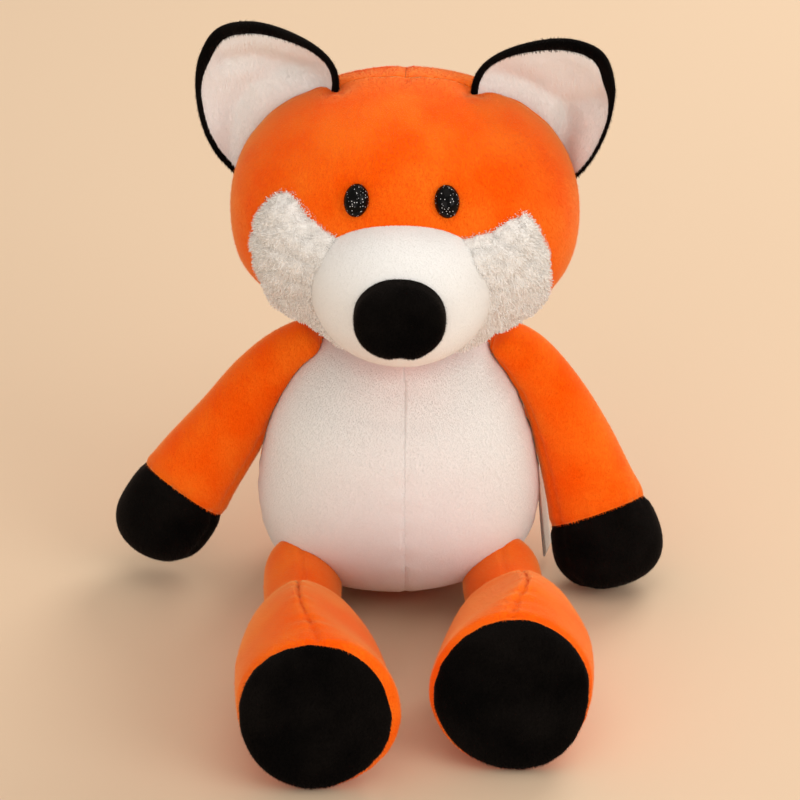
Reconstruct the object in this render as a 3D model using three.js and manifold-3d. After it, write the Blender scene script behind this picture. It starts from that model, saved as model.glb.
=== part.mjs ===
// A sitting plush fox, built as it is sewn: pile fabric panels over wads of filling.
// Millimetres, +Z up. The toy sits on its seat at the origin and faces -Y, so its own left is +X.
import * as THREE from "three";
import { mergeVertices } from "three/addons/utils/BufferGeometryUtils.js";
import Module from "manifold-3d";

const wasm = await Module();
wasm.setup();

// Fabric and clearances
const SKIN = 2; // thickness of the pile fabric
const GAP = 0.3; // clearance between pieces that touch
const SINK = 0.5; // depth of the flat that a soft form gets where it rests
const REACH = 600; // edge of the blocks that cut along a plane
const MIRROR = { right: -1, left: 1 }; // the toy's own sides along X
const X = [1, 0, 0];
const Y = [0, 1, 0];

// Torso: a pear that leans back a little on its seat
const TORSO = {
  across: X,
  stations: [
    { at: [-1, 9, -SINK], half: [56, 34] },
    { at: [-2, 4, 30], half: [67.5, 55] },
    { at: [-2, -3, 60], half: [70, 64] },
    { at: [-2, -5, 90], half: [65.5, 61] },
    { at: [-1, -3, 115], half: [56, 51] },
    { at: [0, -2, 133], half: [43, 39] },
    { at: [0, -2, 146], half: [31, 28] },
  ],
  caps: [40, 12],
  fullness: [2.4, 2.2],
  sides: 24,
  rings: [4, 5, 2],
};
const SIDE_SEAM_Y = 2; // the belly meets the back in this plane
const SEAT_RADIUS = 34; // round panel under the torso
const SEAT_CENTRE_Y = 4;
const SEAT_EDGE_Z = 16; // the seat panel's edge lies below this height

// Neck: a round wad that the head nods and turns on
const NECK = [0, -2, 125];
const DOME_RADIUS = 26; // top of the torso's filling, round the neck's centre
const WAD_THICKNESS = 8;
const WAD_BASE = 21.5; // height of the wad's lower edge above the neck's centre
const BALL_SIDES = 24;

// Head, measured from the neck's centre
const HEAD_YAW = -1.5; // degrees that the head is turned
const HEAD = {
  across: X,
  centre: [0, -8, 89.5],
  half: [85, 68, 67.5],
  fullness: 2.2,
  sides: 28,
  rings: [6, 0, 6],
};
const CROWN_SEAM_Y = 2; // the face panel meets the back panels in this plane
const MUZZLE = {
  across: X,
  centre: [0, -60, 77],
  half: [44, 47, 36],
  fullness: 2.3,
  sides: 20,
  rings: [4, 0, 4],
};
const NOSE = {
  across: X,
  stations: [
    { at: [0, -88, 81], half: [21.5, 19.5] },
    { at: [0, -102, 81], half: [21.5, 19.5] },
    { at: [0, -116, 81], half: [21.5, 19.5] },
  ],
  caps: [4, 10],
  fullness: [2, 2.4],
  squareness: 2.2,
  sides: 18,
  rings: [1, 1, 3],
};
const EYE = { x: 21.5, z: 124, halfWidth: 6, halfHeight: 8, dome: 5.5, sides: 12, rings: 6 };
const SHANK = { radius: 2.2, depth: 11 };
const WASHER = { radius: 7.5, thickness: 2, depth: 4 };
const CHEEK = {
  x: 53,
  z: 83,
  sunk: 18, // its centre lies this far under the head's surface
  half: [34, 40, 27.5], // along the face, up, and outwards
  sides: 14,
  rings: 10,
};

// Ears, in a plane across the head: u runs down the seam from its inner end, v stands away from it
const EAR = {
  innerEnd: [34, 2, 152],
  outerEnd: [84.5, 2, 100],
  outline: [
    [66, -14],
    [69, 6],
    [64, 26],
    [50, 47],
    [32, 61.5],
    [14, 66],
    [1, 57],
    [-8, 38],
    [-11.5, 18],
    [-6, 3],
    [10, -8],
  ],
  middle: [33, 14],
  thickness: 5,
  rimWidth: [6, 2.2], // of the black edge along the top and down the outer side
  rimProud: 1.2,
  cup: 11, // how far the rim stands forward of the middle
  lean: { right: 0, left: 8 }, // degrees outwards
  rays: 24,
  rings: 2,
};

const EAR_FLEX = [-20, 20]; // degrees, back and forward about the line of its base

// Arms, from the shoulder to the tip of the paw; each half is front to back, then across
const SHOULDER = [50, -2, 124];
const SHOULDER_SLOPE = 36; // degrees that the torso's side leans in at the shoulder
const SHOULDER_FLAT = 1.5; // depth of the flat that the arm is sewn to
const ARMS = {
  right: {
    stations: [
      { at: [-44, -2, 141], half: [9, 9] },
      { at: [-57, -2, 131], half: [11.5, 12] },
      { at: [-71, -1, 113], half: [14, 15] },
      { at: [-88, 0, 86], half: [17, 19.5] },
      { at: [-104, 0, 62], half: [19, 22.5] },
      { at: [-119, 0, 38], half: [20.5, 25.5] },
      { at: [-132, 0, 14], half: [20, 24] },
    ],
    paw: [-113, 0, 50],
    onFloor: false,
  },
  left: {
    stations: [
      { at: [46, -2, 141], half: [9, 9] },
      { at: [58, -2, 130], half: [11.5, 13] },
      { at: [73, -2, 107], half: [14, 15.5] },
      { at: [85, -4, 79], half: [17, 19.5] },
      { at: [94, -8, 53], half: [19.5, 23.5] },
      { at: [102, -12, 28], half: [21, 27.5] },
      { at: [108, -16, -SINK], half: [21, 28] },
    ],
    paw: [98, -11, 40],
    onFloor: true,
  },
};
const ARM_SWING = [-15, 25]; // degrees, back and forward, in which an arm passes close to the torso
const ARM_FORM = { across: Y, caps: [6, 24], fullness: [2, 2.5], sides: 14, rings: [2, 5, 4] };

// Legs and feet, along the floor
const LEGS = {
  right: { hipX: -49, ankleX: -47, soleX: -42.5, soleY: -204 },
  left: { hipX: 46.5, ankleX: 52.5, soleX: 51, soleY: -188 },
};
const THIGH_RADIUS = 21.5;
const ANKLE_RADIUS = 20;
const HIP_Y = -40;
const LEG_Z = THIGH_RADIUS - SINK; // height of the leg's middle line
const ANKLE_SETBACK = 86; // of the ankle's centre behind the sole
const HIP_SWING = [0, 90]; // degrees from sitting to hanging
const ANKLE_SWING = [-15, 25]; // degrees, toes back and toes forward
const LEG_FORM = { across: X, fullness: [2, 2], sides: 16, rings: [3, 2, 3] };
const FOOT = {
  across: X,
  // distance behind the sole, height, and half width and half height
  stations: [
    { back: 98, z: 29.5, half: [23, 27.5] },
    { back: 76, z: 34.5, half: [28.5, 35] },
    { back: 50, z: 38.5, half: [35.5, 39] },
    { back: 25, z: 39, half: [39.5, 39.5] },
    { back: 0, z: 38.5, half: [39.5, 39] },
  ],
  lean: 4, // how much further back the sole's top lies than its foot
  caps: [16, 13],
  fullness: [2, 2.6],
  sides: 20,
  rings: [3, 3, 3],
};
const SOLE_DEPTH = 9; // how far the sole's edge lies behind its front

// Tail, lying straight behind the torso
const TAIL_ROOT = [0, 56, 25];
const TAIL_ROOT_RADIUS = 10;
const TAIL = {
  across: X,
  stations: [
    { at: [0, 46, 25], half: [10, 10] },
    { at: [0, 66, 25], half: [12, 12] },
    { at: [0, 88, 23.5], half: [19, 19] },
    { at: [0, 112, 23], half: [24, 23.5] },
    { at: [0, 134, 25], half: [19, 18] },
    { at: [0, 150, 29], half: [12, 11] },
  ],
  caps: [10, 14],
  fullness: [2, 2],
  sides: 14,
  rings: [2, 5, 3],
};
const TAIL_TIP_Y = 122; // the white tip starts here
const TAIL_SWING = [-30, 40]; // degrees, down and up

// Care label: a blank ribbon, folded in two and sewn into the toy's left side seam
const LABEL = { width: 14, length: 52, thickness: 0.8, top: 56, standOff: -2, turn: -8 };

const COLOURS = {
  orange: { colour: 0xf2600f, roughness: 0.95 },
  white: { colour: 0xf4ebe4, roughness: 0.95 },
  longPile: { colour: 0xf1e6da, roughness: 1 },
  black: { colour: 0x0b0908, roughness: 0.95 },
  filling: { colour: 0xf7f7f5, roughness: 1 },
  eye: { colour: 0x050505, roughness: 0.08 },
  washer: { colour: 0xdedcd6, roughness: 0.5 },
  ribbon: { colour: 0xf3f3f1, roughness: 0.4 },
};

const materials = {};
for (const [name, { colour, roughness }] of Object.entries(COLOURS)) {
  materials[name] = new THREE.MeshStandardMaterial({ color: colour, roughness, metalness: 0 });
}

const radians = THREE.MathUtils.degToRad;
const vector = (p) => new THREE.Vector3(p[0], p[1], p[2]);
const mirrored = (p, side) => [p[0] * MIRROR[side], p[1], p[2]];

// A closed geometry as a solid that can be joined and cut
function solidOf(geometry) {
  const bare = geometry.clone();
  bare.deleteAttribute("normal");
  bare.deleteAttribute("uv");
  const merged = mergeVertices(bare, 1e-4);
  const triVerts = new Uint32Array(merged.index.array);
  const vertProperties = new Float32Array(merged.attributes.position.array);
  return new wasm.Manifold(new wasm.Mesh({ numProp: 3, vertProperties, triVerts }));
}

function geometryOf(solid) {
  const mesh = solid.getMesh();
  const geometry = new THREE.BufferGeometry();
  const points = [];
  for (let i = 0; i < mesh.vertProperties.length; i += mesh.numProp) {
    points.push(...mesh.vertProperties.slice(i, i + 3));
  }
  geometry.setAttribute("position", new THREE.Float32BufferAttribute(points, 3));
  geometry.setIndex([...mesh.triVerts]);
  return geometry;
}

// A solid as a named mesh in its group
function addMesh(group, name, solid, material) {
  const geometry = geometryOf(solid);
  geometry.computeVertexNormals();
  const piece = new THREE.Mesh(geometry, material);
  piece.name = name;
  group.add(piece);
}

// Everything on the side of a plane that the normal points to
function halfSpace(point, normal) {
  const block = new THREE.BoxGeometry(REACH, REACH, REACH);
  block.translate(0, 0, REACH / 2);
  const turn = new THREE.Quaternion();
  turn.setFromUnitVectors(vector([0, 0, 1]), vector(normal).normalize());
  block.applyQuaternion(turn);
  block.translate(...point);
  return solidOf(block);
}

// The part of a solid on the side of a plane that the normal points to, drawn back from it
function sideOf(solid, point, normal, back = GAP / 2) {
  const start = vector(point).addScaledVector(vector(normal).normalize(), back);
  return solid.intersect(halfSpace(start.toArray(), normal));
}

const aboveFloor = (solid) => sideOf(solid, [0, 0, 0], [0, 0, 1], 0);

// All the space that a solid takes while it turns about a pivot, sampled at even angles in degrees
function swept(solid, pivot, axis, [from, to], steps) {
  let whole = null;
  for (let i = 0; i <= steps; i++) {
    const turn = new THREE.Matrix4();
    turn.makeRotationAxis(vector(axis).normalize(), radians(THREE.MathUtils.lerp(from, to, i / steps)));
    const geometry = geometryOf(solid);
    geometry.translate(...pivot.map((value) => -value));
    geometry.applyMatrix4(turn);
    geometry.translate(...pivot);
    whole = whole ? whole.add(solidOf(geometry)) : solidOf(geometry);
  }
  return whole;
}

function ball(centre, radius) {
  const geometry = new THREE.SphereGeometry(radius, BALL_SIDES, BALL_SIDES / 2);
  geometry.translate(...centre);
  return solidOf(geometry);
}

// The hollow that a ball of the given radius turns in: its flat facets stay clear of the ball
function ballHollow(centre, radius) {
  const facet = Math.cos(Math.PI / BALL_SIDES) ** 2;
  return ball(centre, (radius + GAP) / facet);
}

// Moves each point of a closed surface outwards along its normal, or inwards if negative
function grown(geometry, distance) {
  if (distance === 0) return geometry;
  geometry.computeVertexNormals();
  const position = geometry.attributes.position;
  const normal = geometry.attributes.normal;
  for (let i = 0; i < position.count; i++) {
    position.setXYZ(
      i,
      position.getX(i) + distance * normal.getX(i),
      position.getY(i) + distance * normal.getY(i),
      position.getZ(i) + distance * normal.getZ(i),
    );
  }
  return geometry;
}

// Places along a form's middle line, each with the share of its full width: close rings in the
// rounded ends, even ones between
function ringPlaces(form, length) {
  const [start, middle, end] = form.rings;
  const [startCap, endCap] = form.caps;
  const places = [];
  const swell = (depth, cap, power) => (1 - (1 - depth / cap) ** power) ** (1 / power);
  for (let i = 1; i <= start; i++) {
    const depth = startCap * (1 - Math.cos((Math.PI / 2) * (i / start)));
    places.push([depth, swell(depth, startCap, form.fullness[0])]);
  }
  for (let i = 1; i < middle; i++) {
    places.push([startCap + ((length - startCap - endCap) * i) / middle, 1]);
  }
  for (let i = middle ? end : end - 1; i >= 1; i--) {
    const depth = endCap * (1 - Math.cos((Math.PI / 2) * (i / end)));
    places.push([length - depth, swell(depth, endCap, form.fullness[1])]);
  }
  return places;
}

// A stuffed form: oval sections along a curved middle line, closed by a rounded end at each side
function formGeometry(form) {
  const line = new THREE.CatmullRomCurve3(form.stations.map((s) => vector(s.at)));
  const widths = new THREE.CatmullRomCurve3(form.stations.map((s) => vector([...s.half, 0])));
  const length = line.getLength();
  const power = 2 / (form.squareness ?? 2);
  const bulge = (value) => Math.sign(value) * Math.abs(value) ** power;
  const points = [...line.getPoint(0).toArray()];
  const places = ringPlaces(form, length);
  for (const [distance, share] of places) {
    const u = distance / length;
    const centre = line.getPointAt(u);
    const half = widths.getPoint(line.getUtoTmapping(u));
    const along = line.getTangentAt(u);
    const first = vector(form.across).addScaledVector(along, -along.dot(vector(form.across)));
    first.normalize();
    const second = new THREE.Vector3().crossVectors(along, first);
    for (let j = 0; j < form.sides; j++) {
      const angle = (2 * Math.PI * j) / form.sides;
      const point = centre.clone();
      point.addScaledVector(first, half.x * share * bulge(Math.cos(angle)));
      point.addScaledVector(second, half.y * share * bulge(Math.sin(angle)));
      points.push(...point.toArray());
    }
  }
  points.push(...line.getPoint(1).toArray());
  const faces = [];
  const at = (ring, side) => 1 + ring * form.sides + (side % form.sides);
  const last = places.length - 1;
  for (let j = 0; j < form.sides; j++) {
    faces.push(0, at(0, j + 1), at(0, j));
    for (let i = 0; i < last; i++) {
      faces.push(at(i, j), at(i, j + 1), at(i + 1, j + 1));
      faces.push(at(i, j), at(i + 1, j + 1), at(i + 1, j));
    }
    faces.push(1 + places.length * form.sides, at(last, j), at(last, j + 1));
  }
  const geometry = new THREE.BufferGeometry();
  geometry.setAttribute("position", new THREE.Float32BufferAttribute(points, 3));
  geometry.setIndex(faces);
  return geometry;
}

const outside = (form, distance = 0) => solidOf(grown(formGeometry(form), distance));

// The inner face of a form's fabric, with about half as many facets as the outside
function inside(form, depth) {
  const sides = Math.max(8, Math.round(form.sides / 2));
  const rings = form.rings.map((n) => Math.max(Math.min(n, 1), Math.round(n / 2)));
  return solidOf(grown(formGeometry({ ...form, sides, rings }), -depth));
}

// An egg-shaped form round a centre: its middle line stands upright, from pole to pole
function eggForm({ centre, half, fullness, ...rest }) {
  const station = (rise) => ({
    at: [centre[0], centre[1], centre[2] + rise * half[2]],
    half: [half[0], half[1]],
  });
  return {
    ...rest,
    stations: [station(-1), station(0), station(1)],
    caps: [half[2], half[2]],
    fullness: [fullness, fullness],
  };
}

// Where the front of an egg-shaped form lies at a given side and height, and which way it faces
function frontOf({ centre, half, fullness }, x, z) {
  const rise = Math.abs((z - centre[2]) / half[2]);
  const girth = (1 - rise ** fullness) ** (1 / fullness);
  const side = (x - centre[0]) / half[0];
  const front = -Math.sqrt(girth ** 2 - side ** 2);
  const slope = girth ** (2 - fullness) * Math.sign(z - centre[2]) * rise ** (fullness - 1);
  const normal = [side / half[0], front / half[1], slope / half[2]];
  return {
    point: vector([x, centre[1] + front * half[1], z]),
    normal: vector(normal).normalize(),
  };
}

// Turns geometry that stands on +Z so that it stands on a surface, still upright along the toy
function standOn(geometry, { point, normal }) {
  const sideways = new THREE.Vector3().crossVectors(vector([0, 0, 1]), normal).normalize();
  const upwards = new THREE.Vector3().crossVectors(normal, sideways);
  const matrix = new THREE.Matrix4().makeBasis(sideways, upwards, normal);
  matrix.setPosition(point);
  return geometry.applyMatrix4(matrix);
}

function disc(radius, bottom, top, sides = 12) {
  const geometry = new THREE.CylinderGeometry(radius, radius, top - bottom, sides);
  geometry.rotateX(Math.PI / 2);
  geometry.translate(0, 0, (bottom + top) / 2);
  return geometry;
}

// The shoulder's plane: the torso is flat inside it and the arm outside it
function shoulder(side) {
  const slope = radians(SHOULDER_SLOPE);
  return {
    point: mirrored(SHOULDER, side),
    outwards: mirrored([Math.cos(slope), 0, Math.sin(slope)], side),
    inwards: mirrored([-Math.cos(slope), 0, -Math.sin(slope)], side),
  };
}

function legForm(side) {
  const { hipX, ankleX, soleY } = LEGS[side];
  const ankleY = soleY + ANKLE_SETBACK;
  const back = HIP_Y + THIGH_RADIUS;
  const front = ankleY - ANKLE_RADIUS;
  return {
    ...LEG_FORM,
    stations: [
      { at: [hipX, back, LEG_Z], half: [THIGH_RADIUS, THIGH_RADIUS] },
      { at: [hipX, HIP_Y, LEG_Z], half: [THIGH_RADIUS, THIGH_RADIUS] },
      { at: [(hipX + ankleX) / 2, (HIP_Y + ankleY) / 2, LEG_Z], half: [20.5, 21] },
      { at: [ankleX, ankleY, LEG_Z + 1], half: [ANKLE_RADIUS, ANKLE_RADIUS] },
      { at: [ankleX, front, LEG_Z + 2], half: [ANKLE_RADIUS, ANKLE_RADIUS] },
    ],
    caps: [THIGH_RADIUS, ANKLE_RADIUS],
  };
}

// The room that a thigh needs in the torso as it swings from sitting to hanging: the thigh at both
// ends of its swing, the ball it turns on and the corner between
function thighRoom(side) {
  const hip = [LEGS[side].hipX, HIP_Y, LEG_Z];
  const wide = THIGH_RADIUS + GAP;
  const corner = new THREE.BoxGeometry(2 * wide, REACH, REACH);
  corner.translate(hip[0], hip[1] - REACH / 2, hip[2] - REACH / 2);
  const ends = swept(outside(legForm(side), GAP), hip, X, HIP_SWING, 1);
  return ends.add(ballHollow(hip, THIGH_RADIUS)).add(solidOf(corner));
}

function buildTorso(group) {
  const form = outside(TORSO);
  let hollow = inside(TORSO, SKIN);
  let filling = inside(TORSO, SKIN + GAP);
  let skin = form.subtract(hollow).subtract(ballHollow(NECK, DOME_RADIUS));
  filling = filling.add(ball(NECK, DOME_RADIUS));
  for (const side of ["right", "left"]) {
    const { point, inwards } = shoulder(side);
    const room = thighRoom(side);
    skin = sideOf(skin, point, inwards, SHOULDER_FLAT).subtract(room);
    filling = sideOf(filling, point, inwards, SHOULDER_FLAT).subtract(room);
  }
  const tailHollow = ballHollow(TAIL_ROOT, TAIL_ROOT_RADIUS);
  skin = aboveFloor(skin.subtract(tailHollow));
  filling = filling.subtract(tailHollow);

  const seatCut = (grow) => {
    const plug = disc(SEAT_RADIUS + grow, -SEAT_EDGE_Z, SEAT_EDGE_Z, 28);
    plug.translate(0, SEAT_CENTRE_Y, 0);
    return solidOf(plug);
  };
  const walls = skin.subtract(seatCut(GAP));
  const belly = sideOf(walls, [0, SIDE_SEAM_Y, 0], [0, -1, 0]);
  addMesh(group, "belly_right", sideOf(belly, [0, 0, 0], [-1, 0, 0]), materials.white);
  addMesh(group, "belly_left", sideOf(belly, [0, 0, 0], [1, 0, 0]), materials.white);
  const back = sideOf(walls, [0, SIDE_SEAM_Y, 0], [0, 1, 0]);
  addMesh(group, "back_right", sideOf(back, [0, 0, 0], [-1, 0, 0]), materials.orange);
  addMesh(group, "back_left", sideOf(back, [0, 0, 0], [1, 0, 0]), materials.orange);
  addMesh(group, "seat_panel", skin.intersect(seatCut(0)), materials.orange);
  addMesh(group, "torso_filling", filling, materials.filling);
}

function buildLabel(group) {
  const { width, length, thickness, top, standOff, turn } = LABEL;
  const half = TORSO.stations[2].half[0];
  const ribbon = new THREE.BoxGeometry(thickness, width, length);
  ribbon.translate(0, width / 2, top - length / 2);
  ribbon.rotateZ(-radians(turn));
  ribbon.translate(half + standOff, SIDE_SEAM_Y, 0);
  const clear = solidOf(ribbon).subtract(outside(TORSO, GAP));
  addMesh(group, "care_label", clear, materials.ribbon);
}

function buildNeck(group) {
  const wad = ball(NECK, DOME_RADIUS + WAD_THICKNESS).subtract(ballHollow(NECK, DOME_RADIUS));
  const base = [NECK[0], NECK[1], NECK[2] + WAD_BASE];
  addMesh(group, "neck_filling", sideOf(wad, base, [0, 0, 1], 0), materials.filling);
}

function buildEye(side) {
  const seat = frontOf(HEAD, EYE.x * MIRROR[side], EYE.z);
  const dome = new THREE.SphereGeometry(1, EYE.sides, EYE.rings);
  dome.rotateX(Math.PI / 2);
  dome.scale(EYE.halfWidth, EYE.halfHeight, EYE.dome);
  const washerBack = -WASHER.depth - WASHER.thickness;
  const shank = (grow) => solidOf(standOn(disc(SHANK.radius + grow, -SHANK.depth - grow, 2, 8), seat));
  const washer = (grow) =>
    solidOf(standOn(disc(WASHER.radius + grow, washerBack - grow, grow - WASHER.depth), seat));
  return {
    button: solidOf(standOn(dome, seat)),
    shank: shank(0),
    shankHole: shank(GAP),
    washer: washer(0).subtract(shank(GAP)),
    washerRoom: washer(GAP),
  };
}

function buildCheek(side) {
  const seat = frontOf(HEAD, CHEEK.x * MIRROR[side], CHEEK.z);
  seat.point.addScaledVector(seat.normal, -CHEEK.sunk);
  const pad = new THREE.SphereGeometry(1, CHEEK.sides, CHEEK.rings);
  pad.scale(...CHEEK.half);
  return solidOf(standOn(pad, seat));
}

function buildHead(group) {
  const head = eggForm(HEAD);
  const muzzle = eggForm(MUZZLE);
  const around = outside(head, GAP);
  const opening = inside(muzzle, SKIN);
  const socket = ballHollow([0, 0, 0], DOME_RADIUS + WAD_THICKNESS);
  let skin = outside(head).subtract(inside(head, SKIN)).subtract(opening).subtract(socket);
  let filling = inside(head, SKIN + GAP).add(inside(muzzle, SKIN + GAP)).subtract(socket);

  for (const side of ["right", "left"]) {
    const eye = buildEye(side);
    const button = eye.button.subtract(around).add(eye.shank);
    addMesh(group, "eye_" + side, button, materials.eye);
    addMesh(group, "eye_washer_" + side, eye.washer, materials.washer);
    skin = skin.subtract(eye.shankHole).subtract(eye.washerRoom);
    filling = filling.subtract(eye.shankHole).subtract(eye.washerRoom);
    const cheek = buildCheek(side).subtract(around).subtract(outside(muzzle, GAP));
    addMesh(group, "cheek_" + side, cheek, materials.longPile);
  }

  const backs = sideOf(skin, [0, CROWN_SEAM_Y, 0], [0, 1, 0]);
  addMesh(group, "face_panel", sideOf(skin, [0, CROWN_SEAM_Y, 0], [0, -1, 0]), materials.orange);
  addMesh(group, "head_back_right", sideOf(backs, [0, 0, 0], [-1, 0, 0]), materials.orange);
  addMesh(group, "head_back_left", sideOf(backs, [0, 0, 0], [1, 0, 0]), materials.orange);
  const dome = outside(muzzle).subtract(opening).subtract(around);
  addMesh(group, "muzzle", dome, materials.white);
  const nose = outside(NOSE).subtract(outside(muzzle, GAP));
  addMesh(group, "nose", nose, materials.black);
  addMesh(group, "head_filling", filling, materials.filling);
}

// A dished sheet with the ear's outline: drawn in from the edge, between two depths
function earSheet(inset, front, back) {
  const [middleU, middleV] = EAR.middle;
  const outline = new THREE.CatmullRomCurve3(
    EAR.outline.map(([u, v]) => vector([u, v, 0])),
    true,
  );
  const ends = EAR.outline.map(([u, v]) => Math.hypot(u - middleU, v - middleV));
  const widest = Math.max(...ends);
  const points = [];
  const put = (u, v, depth) => {
    const dish = EAR.cup * (Math.hypot(u - middleU, v - middleV) / widest) ** 2;
    points.push(u, v, depth + dish);
  };
  const edge = [];
  for (let j = 0; j < EAR.rays; j++) {
    const point = outline.getPointAt(j / EAR.rays);
    const reach = Math.hypot(point.x - middleU, point.y - middleV);
    const down = THREE.MathUtils.smoothstep(point.x, middleU - 10, middleU + 25);
    const rim = inset * THREE.MathUtils.lerp(EAR.rimWidth[0], EAR.rimWidth[1], down);
    const share = (reach - rim) / reach;
    edge.push([middleU + (point.x - middleU) * share, middleV + (point.y - middleV) * share]);
  }
  const faces = [];
  put(middleU, middleV, front);
  put(middleU, middleV, back);
  const at = (face, ring, ray) => 2 + (face * EAR.rings + ring) * EAR.rays + (ray % EAR.rays);
  for (const depth of [front, back]) {
    for (let ring = 1; ring <= EAR.rings; ring++) {
      for (const [u, v] of edge) {
        const share = ring / EAR.rings;
        put(middleU + (u - middleU) * share, middleV + (v - middleV) * share, depth);
      }
    }
  }
  for (let j = 0; j < EAR.rays; j++) {
    faces.push(0, at(0, 0, j), at(0, 0, j + 1));
    faces.push(1, at(1, 0, j + 1), at(1, 0, j));
    for (let i = 0; i < EAR.rings - 1; i++) {
      faces.push(at(0, i, j), at(0, i + 1, j), at(0, i + 1, j + 1));
      faces.push(at(0, i, j), at(0, i + 1, j + 1), at(0, i, j + 1));
      faces.push(at(1, i, j), at(1, i + 1, j + 1), at(1, i + 1, j));
      faces.push(at(1, i, j), at(1, i, j + 1), at(1, i + 1, j + 1));
    }
    const rim = EAR.rings - 1;
    faces.push(at(0, rim, j), at(1, rim, j), at(1, rim, j + 1));
    faces.push(at(0, rim, j), at(1, rim, j + 1), at(0, rim, j + 1));
  }
  const geometry = new THREE.BufferGeometry();
  geometry.setAttribute("position", new THREE.Float32BufferAttribute(points, 3));
  geometry.setIndex(faces);
  return geometry;
}

// Stands an ear's sheet on the crown seam of one side; the sheet's depth axis points forwards
function placeEar(geometry, side) {
  const inner = vector(mirrored(EAR.innerEnd, side));
  const along = vector(mirrored(EAR.outerEnd, side)).sub(inner).normalize();
  const forwards = vector([0, -1, 0]);
  const upwards = new THREE.Vector3().crossVectors(forwards, along).multiplyScalar(MIRROR[side]);
  geometry.rotateZ(-radians(EAR.lean[side]));
  const matrix = new THREE.Matrix4().makeBasis(along, upwards, forwards);
  matrix.setPosition(inner);
  geometry.applyMatrix4(matrix);
  if (matrix.determinant() < 0) {
    const faces = geometry.index.array;
    for (let i = 0; i < faces.length; i += 3) {
      [faces[i + 1], faces[i + 2]] = [faces[i + 2], faces[i + 1]];
    }
  }
  return solidOf(geometry);
}

function buildEar(group, side) {
  const inner = mirrored(EAR.innerEnd, side);
  const base = vector(mirrored(EAR.outerEnd, side)).sub(vector(inner));
  const around = swept(outside(eggForm(HEAD), GAP), inner, base.toArray(), EAR_FLEX, 2);
  const half = EAR.thickness / 2;
  const full = placeEar(earSheet(0, half + EAR.rimProud, -half), side);
  const recess = placeEar(earSheet(1, 3 * EAR.thickness, 0), side);
  const backing = full.subtract(recess).subtract(around);
  const lining = placeEar(earSheet(1 + GAP / EAR.rimWidth[1], half, GAP), side).subtract(around);
  addMesh(group, "ear_" + side + "_back", backing, materials.black);
  addMesh(group, "ear_" + side + "_lining", lining, materials.white);
}

function buildArm(group, side) {
  const { stations, paw, onFloor } = ARMS[side];
  const form = { ...ARM_FORM, stations };
  const { point, inwards } = shoulder(side);
  const torso = sideOf(outside(TORSO, 2 * GAP), point, inwards, SHOULDER_FLAT - GAP);
  const inTheWay = swept(torso, point, inwards, ARM_SWING, 2);
  const trim = (solid) => {
    const clear = solid.subtract(inTheWay);
    return onFloor ? aboveFloor(clear) : clear;
  };
  const skin = trim(outside(form).subtract(inside(form, SKIN)));
  const filling = trim(inside(form, SKIN + GAP));
  const line = new THREE.CatmullRomCurve3(stations.map((s) => vector(s.at)));
  const towardsPaw = line.getTangentAt(0.75).toArray();
  const towardsShoulder = towardsPaw.map((value) => -value);
  addMesh(group, "arm_" + side, sideOf(skin, paw, towardsShoulder), materials.orange);
  addMesh(group, "paw_" + side, sideOf(skin, paw, towardsPaw), materials.black);
  addMesh(group, "arm_filling_" + side, filling, materials.filling);
}

function buildLeg(group, side) {
  const form = legForm(side);
  const ankle = form.stations[3].at;
  const skin = outside(form).subtract(inside(form, SKIN));
  const openAtAnkle = sideOf(aboveFloor(skin), ankle, [0, 1, 0], 0);
  addMesh(group, "leg_" + side, openAtAnkle, materials.orange);
  addMesh(group, "leg_filling_" + side, inside(form, SKIN + GAP), materials.filling);
}

// A foot, whose middle line turns from the sole towards the ankle
function footForm(side) {
  const { ankleX, soleX, soleY } = LEGS[side];
  const stations = FOOT.stations.map(({ back, z, half }) => ({
    at: [THREE.MathUtils.lerp(soleX, ankleX, back / ANKLE_SETBACK), soleY + back, z],
    half,
  }));
  return { ...FOOT, stations };
}

// The room that the leg's end needs in the back of the foot at every angle of the ankle
function ankleRoom(side) {
  const form = legForm(side);
  const ankle = form.stations[3].at;
  const back = ANKLE_SWING.map((angle) => -angle);
  const shin = sideOf(outside(form, 2 * GAP), ankle, [0, 1, 0], 0);
  return swept(shin, ankle, X, back, 2).add(ballHollow(ankle, ANKLE_RADIUS + GAP));
}

function buildFoot(group, side) {
  const form = footForm(side);
  const room = ankleRoom(side);
  const skin = aboveFloor(outside(form).subtract(inside(form, SKIN)).subtract(room));
  const filling = aboveFloor(inside(form, SKIN + GAP).subtract(room));
  const edge = [LEGS[side].soleX, LEGS[side].soleY + SOLE_DEPTH, 0];
  const slope = FOOT.lean / (2 * FOOT.stations.at(-1).half[1]);
  addMesh(group, "foot_" + side, sideOf(skin, edge, [0, 1, -slope]), materials.orange);
  addMesh(group, "sole_" + side, sideOf(skin, edge, [0, -1, slope]), materials.black);
  addMesh(group, "foot_filling_" + side, filling, materials.filling);
}

function buildTail(group) {
  const skin = aboveFloor(outside(TAIL).subtract(inside(TAIL, SKIN)));
  const root = [TAIL_ROOT[0], TAIL_ROOT[1] - TAIL_ROOT_RADIUS / 2, TAIL_ROOT[2]];
  const back = TAIL_SWING.map((angle) => -angle);
  const torso = swept(outside(TORSO, GAP), TAIL_ROOT, X, back, 4);
  const inTheWay = torso.subtract(ball(TAIL_ROOT, TAIL_ROOT_RADIUS));
  const sewn = sideOf(skin, root, [0, 1, 0], 0).subtract(inTheWay);
  const seam = [0, TAIL_TIP_Y, 0];
  addMesh(group, "tail", sideOf(sewn, seam, [0, -1, 0]), materials.orange);
  addMesh(group, "tail_tip", sideOf(sewn, seam, [0, 1, 0]), materials.white);
  addMesh(group, "tail_filling", inside(TAIL, SKIN + GAP).subtract(inTheWay), materials.filling);
}

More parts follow.
